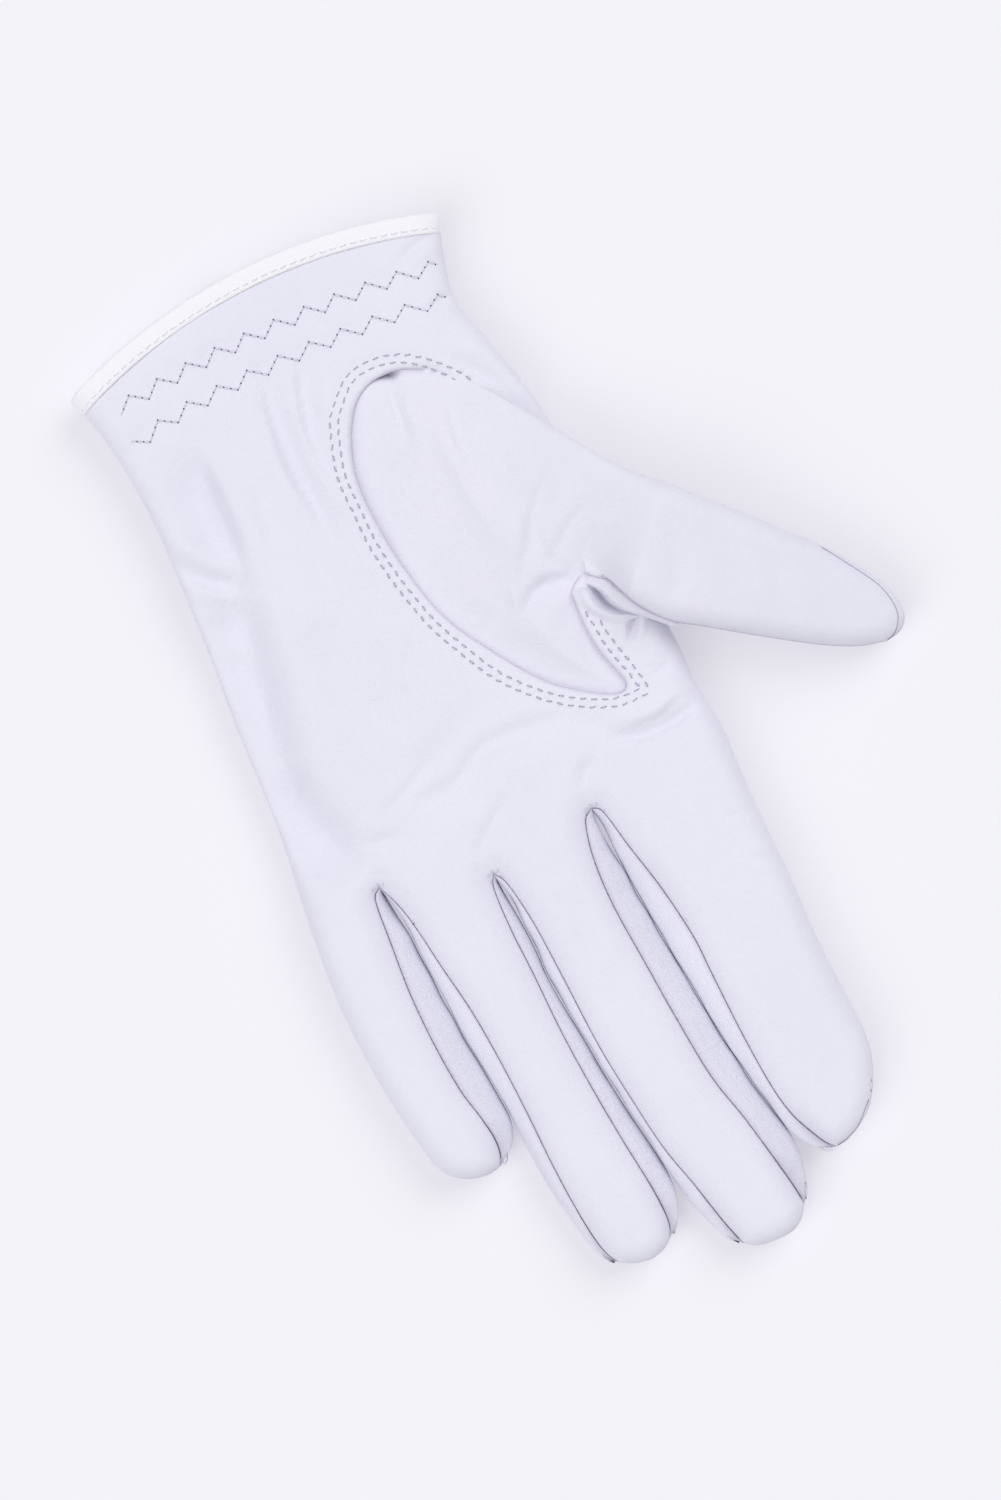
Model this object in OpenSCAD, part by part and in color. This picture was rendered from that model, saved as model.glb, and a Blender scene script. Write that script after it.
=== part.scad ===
// Left-hand golf glove lying on its back, palm up.
// +Y runs along the fingers, +Z out of the palm, the thumb is on the -X side.
// The origin is on the resting plane, under the middle of the palm.

/* [Leather] */
// Thickness of the leather
leather = 0.7; // [0.5:0.1:0.9]
// Height of the open palm and fingers
glove_h = 10; // [9.5:0.5:12]
// Inset of the palm face from the back face on each side of a finger
lean = 2.5; // [1.5:0.5:3.5]
// Clearance between pieces that move past each other
gap = 0.3; // [0.2:0.1:0.5]

/* [Fingers] */
// Width of the flattened index finger
index_w = 27.4; // [24:0.2:28]
// Width of the flattened middle finger
middle_w = 23.4; // [20:0.2:24]
// Width of the flattened ring finger
ring_w = 19.9; // [18:0.2:21]
// Width of the flattened little finger
little_w = 19.2; // [17:0.2:20]
// How far the index fingertip lies from the origin
index_tip = 103.8; // [95:0.2:110]
// How far the middle fingertip lies from the origin
middle_tip = 114.8; // [105:0.2:120]
// How far the ring fingertip lies from the origin
ring_tip = 106.2; // [96:0.2:112]
// How far the little fingertip lies from the origin
little_tip = 75.5; // [70:0.2:80]

/* [Thumb] */
// Direction of the thumb, turned from the fingers
thumb_turn = 44; // [40:1:48]
// Angle at which the thumb slopes down to its tip
thumb_slope = 11; // [6:1:11]
// Height of the thumb's root over the palm
thumb_rise = 2.7; // [2.7:0.1:4]
// Length of the thumb beyond its root
thumb_len = 61; // [56:1:64]
// Width of the flattened thumb
thumb_w = 22.6; // [21:0.2:24]
// Height of the open thumb
thumb_h = 9.5; // [8:0.5:10]

/* [Cuff and closure] */
// Radius of the curved cuff edge
cuff_r = 116; // [114:1:118]
// Width of the binding tape
binding_w = 4; // [3.5:0.5:5]
// Thickness of the binding tape
binding_t = 0.5; // [0.4:0.1:0.6]
// Length of the closure tab's free part
tab_len = 42; // [38:1:46]
// Width of the closure tab
tab_w = 28; // [26:1:30]
// Thickness of the closure tab's leather
tab_t = 1; // [0.8:0.1:1.2]
// Thickness of the hook pad and of the loop pad
pad_t = 0.7; // [0.6:0.1:0.8]

/* [Stitching] */
// Width of thumb leather that is sewn under the palm
seam_allowance = 5; // [4.5:0.5:6]
// Spacing of the stitches round the thumb
stitch_pitch = 2.2; // [2:0.1:3]
// Spacing of the peaks in a zigzag row
zigzag_pitch = 6.6; // [6:0.2:8]
// Height of a zigzag row, peak to peak
zigzag_h = 2.9; // [2.5:0.1:3.5]
// Thickness of the thread
thread = 0.3; // [0.2:0.05:0.4]

/* [Hidden] */

$fn = 64;
leather_colour = [0.90, 0.89, 0.95];
shade_colour = [0.82, 0.81, 0.88];
white_colour = [0.97, 0.97, 0.99];
thread_colour = [0.72, 0.71, 0.78];

// Sides of a sleeve, as signs of its own X
thumb_side = -1;
little_side = 1;

// Finger sleeves stand side by side from the index edge of the hand
finger_gap = 2 * gap;
hand_edge_x = -38.6;
index_x = hand_edge_x + index_w / 2;
middle_x = hand_edge_x + index_w + finger_gap + middle_w / 2;
ring_x = middle_x + middle_w / 2 + finger_gap + ring_w / 2;
little_x = ring_x + ring_w / 2 + finger_gap + little_w / 2;

// A sleeve: [centre x, half width, root y, middle joint y, tip y, height]
index = [index_x, index_w / 2, 24, 52, index_tip, glove_h];
middle = [middle_x, middle_w / 2, 26, 56, middle_tip, glove_h];
ring = [ring_x, ring_w / 2, 26, 54, ring_tip, glove_h];
little = [little_x, little_w / 2, 18, 41, little_tip, glove_h];
thumb = [0, thumb_w / 2, 0, 30, thumb_len, thumb_h];

// The root of the thumb, in plan and above the palm
thumb_root = [-39.4, -26.9, glove_h + thumb_rise];

// The centre of the cuff's arc
cuff_centre = [4.5, 8.2];
panel_r = cuff_r - binding_t;

// The back is lifted at the wrist by the closed tab under it
tab_stack = tab_t + 2 * pad_t + gap;
lift_end_y = -52;
flat_start_y = -40;
far = 200;

// The folded edge of the hand on the index side, from the cuff up
index_edge = [
    [-38.9, -116], [-38.2, -95.3], [-34.6, -82], [-37.0, -68], [-38.9, -52],
    [-40.2, -28], [-40.6, -3], [-40.2, 12], [-39.2, index[2] - gap / 2]
];
// The seam on the little finger's side, from the cuff up
little_edge = [
    [43.4, -116], [41.6, -95.2], [40.0, -76], [41.2, -60], [44.2, -36],
    [46.6, -14], [49.2, 2], [52.6, little[2] - gap / 2]
];
// The hole that the thumb is set into, anticlockwise
thumb_hole = [
    [-26.4, 2.9], [-29.5, -8], [-31.5, -20], [-33, -40], [-33, -58],
    [-28, -70.5], [-17.2, -75], [-8.1, -73.5], [-2, -65.4], [0.8, -52.1],
    [0, -36.2], [-3.5, -22.9], [-10.3, -11], [-19, -1.1]
];

// A point of a smooth curve between b and c
function smooth_point(a, b, c, d, t) =
    0.5 * (2 * b + (c - a) * t + (2 * a - 5 * b + 4 * c - d) * t * t
    + (3 * b - a - 3 * c + d) * t * t * t);

// A smooth open curve through the points, with n steps between each pair
function open_curve(p, n) = let (last = len(p) - 1) [
    for (i = [0 : last - 1], k = [0 : n - 1])
        smooth_point(p[max(i - 1, 0)], p[i], p[i + 1], p[min(i + 2, last)], k / n),
    p[last]
];

// A smooth closed curve through the points
function closed_curve(p, n) = let (m = len(p)) [
    for (i = [0 : m - 1], k = [0 : n - 1])
        smooth_point(p[(i + m - 1) % m], p[i], p[(i + 1) % m], p[(i + 2) % m], k / n)
];

// A point moved sideways from a curve, to the left of its direction
function beside(a, b, c, d) = let (t = c - a) b + d * [-t[1], t[0]] / norm(t);

// An open curve moved to its left by d
function shifted(p, d) = let (last = len(p) - 1) [
    for (i = [0 : last]) beside(p[max(i - 1, 0)], p[i], p[min(i + 1, last)], d)
];

// A closed curve moved to its left by d
function closed_shifted(p, d) = let (m = len(p)) [
    for (i = [0 : m - 1]) beside(p[(i + m - 1) % m], p[i], p[(i + 1) % m], d)
];

function reversed(p) = [for (i = [len(p) - 1 : -1 : 0]) p[i]];

// Length of a curve up to its point i
function length_to(p, i) = i == 0 ? 0 : length_to(p, i - 1) + norm(p[i] - p[i - 1]);

index_curve = open_curve(index_edge, 3);
little_curve = open_curve(little_edge, 3);
hole_curve = closed_curve(thumb_hole, 3);

// Plan of the hand between its two edges, up to the finger roots
hand_plan = concat(
    index_curve,
    [
        [index_x + index_w / 2 + gap, index[2] - gap / 2],
        [index_x + index_w / 2 + gap, middle[2] - gap / 2],
        [ring_x + ring_w / 2 + gap, ring[2] - gap / 2],
        [ring_x + ring_w / 2 + gap, little[2] - gap / 2]
    ],
    reversed(little_curve)
);

// Height of the back's outer face along the hand
back_profile = [
    [-far, tab_stack], [lift_end_y, tab_stack], [flat_start_y, 0], [far, 0]
];

module within_cuff(r) {
    intersection() {
        children();
        translate([cuff_centre[0], cuff_centre[1], -1])
            cylinder(r = r, h = 4 * glove_h, $fn = 180);
    }
}

// Extrudes a side profile, given as [y, z] points, across the whole hand
module across_hand(points) {
    translate([-far / 2, 0, 0])
        rotate([90, 0, 90])
            linear_extrude(far)
                polygon(points);
}

// The space between the back leather and the palm leather, moved up by z
module above_back(z) {
    raised = [for (p = back_profile) [p[0], p[1] + z]];
    across_hand(concat(raised, [[far, glove_h - leather], [-far, glove_h - leather]]));
}

// A wall that follows an edge of the hand, inside the hand's outline
module edge_wall(curve, side) {
    inner = shifted(curve, side * leather);
    intersection() {
        within_cuff(cuff_r - binding_w)
            linear_extrude(glove_h)
                polygon(concat(curve, reversed(inner)));
        above_back(leather);
    }
}

// The room between the hand's two edges, less d on each side
module between_edges(d) {
    linear_extrude(glove_h)
        polygon(concat(shifted(index_curve, -d), reversed(shifted(little_curve, d))));
}

// ---- The hand ----

module palm_panel() {
    color(leather_colour) {
        difference() {
            within_cuff(panel_r)
                translate([0, 0, glove_h - leather])
                    linear_extrude(leather)
                        polygon(hand_plan);
            translate([0, 0, glove_h - 2 * leather])
                linear_extrude(3 * leather)
                    polygon(hole_curve);
        }
        edge_wall(index_curve, -1);
    }
}

// The vent that lets the cuff open, under the closure tab
vent_x = 9;
vent_w = 5;
vent_end_y = -58;

module vent(extra) {
    translate([0, 0, -1])
        linear_extrude(glove_h - 2)
            polygon([
                [vent_x - vent_w / 2 - extra, -far], [vent_x + vent_w / 2 + extra, -far],
                [vent_x + 1 + extra, vent_end_y + extra],
                [vent_x - 1 - extra, vent_end_y + extra]
            ]);
}

module back_panel() {
    lower = back_profile;
    upper = [for (p = back_profile) [p[0], p[1] + leather]];
    color(leather_colour) {
        difference() {
            intersection() {
                within_cuff(panel_r)
                    linear_extrude(glove_h)
                        polygon(hand_plan);
                across_hand(concat(lower, reversed(upper)));
            }
            vent(0);
        }
        edge_wall(little_curve, 1);
    }
}

// Binding folded over a leather edge whose lower face is at z
module folded_tape(z, from, to) {
    translate([cuff_centre[0], cuff_centre[1], 0])
        rotate([0, 0, from])
            rotate_extrude(angle = to - from, $fn = 180)
                difference() {
                    translate([cuff_r - binding_w, z - binding_t])
                        square([binding_w, leather + 2 * binding_t]);
                    translate([cuff_r - binding_w - 1, z])
                        square([binding_w - binding_t + 1, leather]);
                }
}

module tape_end(at) {
    low = tab_stack + leather + binding_t;
    high = glove_h - leather - binding_t;
    translate([cuff_centre[0], cuff_centre[1], 0])
        rotate([0, 0, at])
            translate([cuff_r - binding_w, -binding_t / 2, low])
                cube([binding_w, binding_t, high - low]);
}

cuff_from = 248.3;
cuff_to = 289.6;
cuff_vent = 272.2;
half_vent = 1.8;

module cuff_binding() {
    color(white_colour) {
        folded_tape(glove_h - leather, cuff_from, cuff_to);
        folded_tape(tab_stack, cuff_from, cuff_vent - half_vent);
        folded_tape(tab_stack, cuff_vent + half_vent, cuff_to);
        tape_end(cuff_from + 0.2);
        tape_end(cuff_to - 0.2);
    }
}

elastic_from = [-32, -97];
elastic_size = [68, 15];

module wrist_elastic() {
    color(white_colour)
        translate([elastic_from[0], elastic_from[1], glove_h - 2 * leather])
            cube([elastic_size[0], elastic_size[1], leather]);
}

// ---- The thumb's root ----

module in_thumb_frame() {
    translate(thumb_root)
        rotate([0, 0, thumb_turn])
            rotate([-thumb_slope, 0, 0])
                children();
}

// A thin slice of the thumb's sleeve, inset by d
module thumb_slice(y, depth, d) {
    in_thumb_frame()
        along_sleeve(y, y + depth)
            polygon([
                [-thumb[1] + d, d], [thumb[1] - d, d],
                [thumb[1] - lean - d, thumb_h - d], [-thumb[1] + lean + d, thumb_h - d]
            ]);
}

// The curve of the thumb hole made larger by d, as a layer between two heights
module hole_layer(d, low, high) {
    translate([0, 0, low])
        linear_extrude(high - low)
            polygon(closed_shifted(hole_curve, -d));
}

// The leather that rises from under the palm, through the hole, to the thumb's sleeve
module thumb_base() {
    sliver = 0.05;
    top = glove_h - leather;
    color(leather_colour)
        difference() {
            union() {
                intersection() {
                    hole_layer(seam_allowance, top - leather, top);
                    between_edges(leather + gap);
                }
                hole_layer(0, top - leather, glove_h);
                hull() {
                    hole_layer(0, glove_h, glove_h + sliver);
                    thumb_slice(-1.2, 0.9, 0);
                }
            }
            hull() {
                hole_layer(-leather, glove_h, glove_h + sliver);
                thumb_slice(-1.2, 2, leather);
            }
            hole_layer(-leather, top - 2 * leather, glove_h + sliver);
            thumb_clearance();
        }
}

// The space that the thumb's sleeve moves in
module thumb_clearance() {
    in_thumb_frame()
        translate([-thumb_w, -gap, -thumb_h])
            cube([1.5 * thumb_w + gap, 2 * thumb_len, 4 * thumb_h]);
}

// The small folded strip that closes the crotch between thumb and palm
module thumb_gusset() {
    color(shade_colour)
        translate([0, 0, glove_h])
            linear_extrude(leather)
                polygon([[-35.2, -13.2], [-38.2, -9.8], [-37.0, -6.4], [-35.4, -8.2]]);
}

// ---- The closure ----

tab_y = -80;
tab_hinge_x = 16;
pad_inset = 2;

module tab_plan(inset) {
    r = tab_w / 2 - inset;
    translate([tab_hinge_x - tab_len + tab_w / 2, tab_y])
        circle(r = r);
    translate([tab_hinge_x - tab_len + tab_w / 2, tab_y - r])
        square([tab_len - tab_w / 2 - inset - gap / 2, 2 * r]);
}

module closure_tab() {
    color(leather_colour)
        linear_extrude(tab_t)
            tab_plan(0);
}

hook_end_x = -2;

module hook_pad() {
    color(white_colour)
        intersection() {
            translate([0, 0, tab_t])
                linear_extrude(pad_t)
                    tab_plan(pad_inset);
            translate([-far + hook_end_x, -far, 0])
                cube([far, 2 * far, glove_h]);
        }
}

module loop_pad() {
    color(white_colour)
        translate([-24, tab_y - tab_w / 2 + 1, tab_stack - pad_t])
            cube([28, tab_w - 2, pad_t]);
}

// The sewn root of the tab, on the little finger's side of the vent
module tab_anchor() {
    color(leather_colour)
        translate([tab_hinge_x + gap / 2, tab_y - tab_w / 2, 0])
            cube([9, tab_w, tab_stack]);
}

// ---- Stitching ----

// One stitch from a to b, on a surface at height z
module stitch(a, b, z) {
    d = b - a;
    translate([a[0], a[1], z])
        rotate([0, 0, atan2(d[1], d[0])])
            translate([0, -thread / 2, 0])
                cube([norm(d), thread, thread]);
}

// Stitches along a curve at the stitch pitch, with gaps between them
module stitch_row(curve, z, pitch) {
    last = len(curve) - 1;
    total = length_to(curve, last);
    count = floor(total / pitch);
    for (i = [0 : count - 1])
        let (a = point_at(curve, i * pitch), b = point_at(curve, (i + 0.65) * pitch))
            stitch(a, b, z);
}

// The point at a length along a curve
function point_at(p, s, i = 1) = let (d = norm(p[i] - p[i - 1]))
    s <= d || i == len(p) - 1 ? p[i - 1] + (p[i] - p[i - 1]) * min(s / d, 1)
    : point_at(p, s - d, i + 1);

// The curve of the zigzag rows, which bends towards the cuff's corners
zigzag_low_y = -94.8;
zigzag_x = 20;
zigzag_bend = 0.0019;
zigzag_row_step = 6.9;
zigzag_from_x = -31;
zigzag_steps = 21;

function zigzag_point(row, i) =
    let (x = zigzag_from_x + i * zigzag_pitch / 2)
    [x, zigzag_low_y + row * zigzag_row_step + zigzag_bend * pow(x - zigzag_x, 2)
        + (i % 2 == 0 ? 1 : -1) * zigzag_h / 2];

module zigzag_stitching() {
    per_leg = 3;
    color(thread_colour)
        for (row = [0, 1], i = [0 : zigzag_steps - 1], k = [0 : per_leg - 1])
            let (
                a = zigzag_point(row, i),
                leg = zigzag_point(row, i + 1) - a
            )
            stitch(a + leg * (k + 0.15) / per_leg, a + leg * (k + 0.8) / per_leg, glove_h);
}

// The visible run of the thumb seam, from under the thumb's fold round to the crotch
thumb_seam = let (n = len(hole_curve))
    [for (i = [16 : n + 2]) hole_curve[i % n]];

module thumb_stitching() {
    row_inset = [2, 3.6];
    color(thread_colour)
        for (d = row_inset)
            stitch_row(shifted(thumb_seam, -d), glove_h, stitch_pitch);
}

module binding_stitching() {
    r = cuff_r - binding_w + 1;
    count = floor((cuff_to - cuff_from) * PI / 180 * r / stitch_pitch) - 1;
    step = stitch_pitch / r * 180 / PI;
    color(thread_colour)
        for (i = [1 : count])
            translate([cuff_centre[0], cuff_centre[1], glove_h + binding_t])
                rotate([0, 0, cuff_from + i * step])
                    translate([r, 0, 0])
                        cube([thread, 0.65 * stitch_pitch, thread]);
}

module tab_stitching() {
    inset = 1.2;
    x0 = tab_hinge_x - tab_len + tab_w / 2;
    r = tab_w / 2 - inset;
    count = floor(PI * r / stitch_pitch);
    color(thread_colour)
        for (i = [0 : count - 1])
            let (a = 90 + i * 180 / count, b = 90 + (i + 0.65) * 180 / count)
                stitch(
                    [x0 + r * cos(a), tab_y + r * sin(a)],
                    [x0 + r * cos(b), tab_y + r * sin(b)], tab_t);
}

// ---- Finger and thumb sleeves ----

// Extrudes a section, given across and up, along the sleeve from y0 to y1
module along_sleeve(y0, y1) {
    translate([0, y1, 0])
        rotate([90, 0, 0])
            linear_extrude(y1 - y0)
                children();
}

// Section of the side wall on the +X side, between the two faces
module wall_section(s) {
    h = s[5];
    low = s[1];
    high = s[1] - lean;
    polygon([
        [low - leather, leather], [low, leather],
        [high, h - leather], [high - leather, h - leather]
    ]);
}

module side_wall(s, side, y0, y1) {
    along_sleeve(y0, y1)
        scale_side(side)
            wall_section(s);
}

module scale_side(side) {
    if (side < 0)
        mirror([1, 0])
            children();
    else
        children();
}

// A face of the sleeve, half width w, with a round end when it reaches the tip
module sleeve_face(s, w, y0, y1) {
    end = s[4] - s[1];
    linear_extrude(leather)
        union() {
            translate([-w, y0])
                square([2 * w, min(y1, end) - y0]);
            if (y1 > end)
                translate([0, end])
                    circle(r = w);
        }
}

// The palm face of a sleeve, with the walls that are folded down from it
module palm_face(s, y0, y1, folds) {
    end = s[4] - s[1];
    translate([0, 0, s[5] - leather])
        sleeve_face(s, s[1] - lean, y0, y1);
    for (side = folds)
        side_wall(s, side, y0, min(y1, end));
}

// The back face of a sleeve, with the wall that turns up round the tip
module back_face(s, y0, y1) {
    end = s[4] - s[1];
    sleeve_face(s, s[1], y0, y1);
    if (y1 > end)
        translate([0, end, 0])
            rotate_extrude(angle = 180)
                wall_section(s);
}

function root_part(s) = [s[2] + gap / 2, s[3] - gap / 2];
function tip_part(s) = [s[3] + gap / 2, s[4]];

module finger_palm(s, part, folds) {
    color(leather_colour)
        translate([s[0], 0, 0])
            palm_face(s, part[0], part[1], folds);
}

module finger_back(s, part) {
    color(leather_colour)
        translate([s[0], 0, 0])
            back_face(s, part[0], part[1]);
}

module fourchette(s, part, side) {
    color(shade_colour)
        translate([s[0], 0, 0])
            side_wall(s, side, part[0], min(part[1], s[4] - s[1]));
}

module thumb_palm(part) {
    color(leather_colour)
        in_thumb_frame()
            palm_face(thumb, part[0], part[1], [thumb_side]);
}

module thumb_back(part) {
    color(leather_colour)
        in_thumb_frame() {
            back_face(thumb, part[0], part[1]);
            side_wall(thumb, little_side, part[0], min(part[1], thumb[4] - thumb[1]));
        }
}

palm_panel();
back_panel();
cuff_binding();
wrist_elastic();
thumb_base();
thumb_gusset();
loop_pad();
tab_anchor();
zigzag_stitching();
thumb_stitching();
binding_stitching();
closure_tab();
hook_pad();
tab_stitching();
finger_palm(index, root_part(index), [thumb_side]);  // index_palm_root
finger_back(index, root_part(index));  // index_back_root
fourchette(index, root_part(index), little_side);  // index_inner_fourchette_root
finger_palm(index, tip_part(index), [thumb_side]);  // index_palm_tip
finger_back(index, tip_part(index));  // index_back_tip
fourchette(index, tip_part(index), little_side);  // index_inner_fourchette_tip
finger_palm(middle, root_part(middle), []);  // middle_palm_root
finger_back(middle, root_part(middle));  // middle_back_root
fourchette(middle, root_part(middle), thumb_side);  // middle_outer_fourchette_root
fourchette(middle, root_part(middle), little_side);  // middle_inner_fourchette_root
finger_palm(middle, tip_part(middle), []);  // middle_palm_tip
finger_back(middle, tip_part(middle));  // middle_back_tip
fourchette(middle, tip_part(middle), thumb_side);  // middle_outer_fourchette_tip
fourchette(middle, tip_part(middle), little_side);  // middle_inner_fourchette_tip
finger_palm(ring, root_part(ring), []);  // ring_palm_root
finger_back(ring, root_part(ring));  // ring_back_root
fourchette(ring, root_part(ring), thumb_side);  // ring_outer_fourchette_root
fourchette(ring, root_part(ring), little_side);  // ring_inner_fourchette_root
finger_palm(ring, tip_part(ring), []);  // ring_palm_tip
finger_back(ring, tip_part(ring));  // ring_back_tip
fourchette(ring, tip_part(ring), thumb_side);  // ring_outer_fourchette_tip
fourchette(ring, tip_part(ring), little_side);  // ring_inner_fourchette_tip
finger_palm(little, root_part(little), [little_side]);  // little_palm_root
finger_back(little, root_part(little));  // little_back_root
fourchette(little, root_part(little), thumb_side);  // little_outer_fourchette_root
finger_palm(little, tip_part(little), [little_side]);  // little_palm_tip
finger_back(little, tip_part(little));  // little_back_tip
fourchette(little, tip_part(little), thumb_side);  // little_outer_fourchette_tip
thumb_palm(root_part(thumb));  // thumb_palm_root
thumb_back(root_part(thumb));  // thumb_back_root
thumb_palm(tip_part(thumb));  // thumb_palm_tip
thumb_back(tip_part(thumb));  // thumb_back_tip
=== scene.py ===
"""The looks of a golf glove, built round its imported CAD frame.

Lengths in this script are millimetres in the part's frame until a mesh is made: +Y runs along the
fingers, +Z out of the palm, and the thumb is on the -X side.
"""
import math

import bmesh
import bpy
import numpy as np
from mathutils import Matrix, Vector
from mathutils.geometry import delaunay_2d_cdt
from mathutils.kdtree import KDTree


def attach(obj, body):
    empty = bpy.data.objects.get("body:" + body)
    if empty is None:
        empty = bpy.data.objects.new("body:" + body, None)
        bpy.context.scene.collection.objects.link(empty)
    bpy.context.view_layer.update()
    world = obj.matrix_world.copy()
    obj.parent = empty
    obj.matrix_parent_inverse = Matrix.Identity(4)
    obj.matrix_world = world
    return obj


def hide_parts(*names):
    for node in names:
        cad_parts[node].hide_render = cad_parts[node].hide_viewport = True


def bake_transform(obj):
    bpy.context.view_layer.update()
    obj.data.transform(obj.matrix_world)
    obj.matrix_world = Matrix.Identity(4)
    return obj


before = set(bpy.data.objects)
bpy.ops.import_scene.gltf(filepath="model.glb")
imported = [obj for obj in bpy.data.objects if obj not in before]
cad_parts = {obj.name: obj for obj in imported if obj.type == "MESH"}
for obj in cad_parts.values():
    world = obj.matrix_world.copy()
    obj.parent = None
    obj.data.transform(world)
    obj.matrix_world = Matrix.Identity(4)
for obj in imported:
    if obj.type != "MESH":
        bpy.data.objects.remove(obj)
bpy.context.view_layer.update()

MM = 0.001
LEATHER = 0.6           # thickness of the leather
PALM_LEVEL = 9.6        # height of the palm face
FINGER_LEVEL = 9.5      # height of the fingers' palm face
BACK_LEVEL = 0.35       # height of the back's outer face
WRIST_BACK = 3.35       # the same over the closed tab
FOLD_Z = 4.9            # height of a folded edge and of the seam round a fingertip
FOLD_RISE = 1.3         # how much higher the folds are over the closed tab
SEAM_Z = 7.3            # height of the seam between a finger's palm face and its fourchette
BACK_SEAM_Z = 1.35      # height of the seam between a fourchette and the back


# ---------------- small helpers

SPLINE_PARTS = 12       # how many parts a spline has between two of its points


def smooth(t):
    """Eases from 0 to 1 as t goes from 0 to 1."""
    t = np.clip(t, 0.0, 1.0)
    return t * t * (3 - 2 * t)


def spline(points, step=0.8):
    """A smooth curve through the points, in any number of dimensions, resampled evenly."""
    p = np.array(points, float)
    p = np.vstack([2 * p[0] - p[1], p, 2 * p[-1] - p[-2]])
    out = []
    for i in range(1, len(p) - 2):
        a, b, c, d = p[i - 1 : i + 3]
        for t in np.linspace(0, 1, SPLINE_PARTS, endpoint=False):
            out.append(0.5 * (2 * b + (c - a) * t + (2 * a - 5 * b + 4 * c - d) * t**2
                              + (3 * b - a - 3 * c + d) * t**3))
    out.append(p[-2])
    return resample(np.array(out), step)


def lengths_along(p):
    """How far along a curve each of its points is."""
    return np.concatenate([[0], np.cumsum(np.linalg.norm(np.diff(p, axis=0), axis=1))])


def resample(p, step=None, count=None):
    """The same curve with even spacing: about step apart, or with count points."""
    length = lengths_along(p)
    n = count or max(2, int(round(length[-1] / step)) + 1)
    at = np.linspace(0, length[-1], n)
    return np.stack([np.interp(at, length, p[:, k]) for k in range(p.shape[1])], axis=1)


def straight(a, b, step=0.8):
    """Points on a straight line."""
    return resample(np.array([a, b], float), step)


def arc(centre, radius, start, end, step=0.8):
    """Points on an arc, with the angles in degrees."""
    n = max(2, int(abs(math.radians(end - start)) * radius / step) + 1)
    a = np.radians(np.linspace(start, end, n))
    return np.stack([centre[0] + radius * np.cos(a), centre[1] + radius * np.sin(a)], axis=1)


def shared(a, b):
    """Whether two curves' ends are the same point."""
    return np.linalg.norm(b - a) < 0.2


def join(*curves):
    """Curves end to end, with the points that they share kept once."""
    out = [curves[0]]
    for c in curves[1:]:
        out.append(c[1:] if shared(out[-1][-1], c[0]) else c)
    return np.vstack(out)


def nearest_index(curve, point):
    """Which of a curve's points is nearest to another point."""
    return int(np.argmin(np.linalg.norm(curve - point, axis=1)))


def inside(points, loop):
    """Which points lie inside a closed loop."""
    x, y = points[:, 0], points[:, 1]
    result = np.zeros(len(points), bool)
    for (x0, y0), (x1, y1) in zip(loop, np.roll(loop, -1, axis=0)):
        if y0 == y1:
            continue
        crosses = (y0 > y) != (y1 > y)
        result ^= crosses & (x < (x1 - x0) * (y - y0) / (y1 - y0) + x0)
    return result


class Nearest:
    """Distance to a set of polylines, and what they carry at the nearest point."""

    def __init__(self, curves, values=None, closed=True):
        a, b, va, vb = [], [], [], []
        for i, c in enumerate(curves):
            n = len(c)
            last = n if closed else n - 1
            v = values[i] if values is not None else np.zeros((n, 1))
            j = (np.arange(last) + 1) % n
            a.append(c[:last])
            b.append(c[j])
            va.append(v[:last])
            vb.append(v[j])
        self.a, self.b = np.vstack(a), np.vstack(b)
        self.va, self.vb = np.vstack(va), np.vstack(vb)
        self.tree = KDTree(len(self.a))
        for i, m in enumerate((self.a + self.b) / 2):
            self.tree.insert((m[0], m[1], 0), i)
        self.tree.balance()

    def __call__(self, points, tries=3):
        n = len(points)
        index = np.zeros((n, tries), int)
        for k, p in enumerate(points):
            found = self.tree.find_n((p[0], p[1], 0), tries)
            index[k] = [f[1] for f in found]
        best = np.full(n, 1e9)
        value = np.zeros((n, self.va.shape[1]))
        for t in range(tries):
            i = index[:, t]
            a, b = self.a[i], self.b[i]
            d = b - a
            s = np.clip(((points - a) * d).sum(1) / np.maximum((d * d).sum(1), 1e-12), 0, 1)
            dist = np.linalg.norm(points - (a + d * s[:, None]), axis=1)
            closer = dist < best
            best = np.where(closer, dist, best)
            v = self.va[i] + (self.vb[i] - self.va[i]) * s[:, None]
            value[closer] = v[closer]
        return best, value


def waves(points, wavelength, seed, count=9):
    """Gentle random undulation between about -1 and 1."""
    rng = np.random.default_rng(seed)
    total = np.zeros(len(points))
    for _ in range(count):
        angle = rng.uniform(0, 2 * math.pi)
        k = 2 * math.pi / (wavelength * rng.uniform(0.7, 1.5))
        phase = rng.uniform(0, 2 * math.pi)
        total += np.sin(k * (points[:, 0] * math.cos(angle) + points[:, 1] * math.sin(angle)) + phase)
    return total / math.sqrt(count) / 1.2


def swells(points, rows):
    """The height of gentle swells, each given by its height, length and seed."""
    return sum(height * waves(points, length, seed) for height, length, seed in rows)


# ---------------- outlines of the leather

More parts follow.
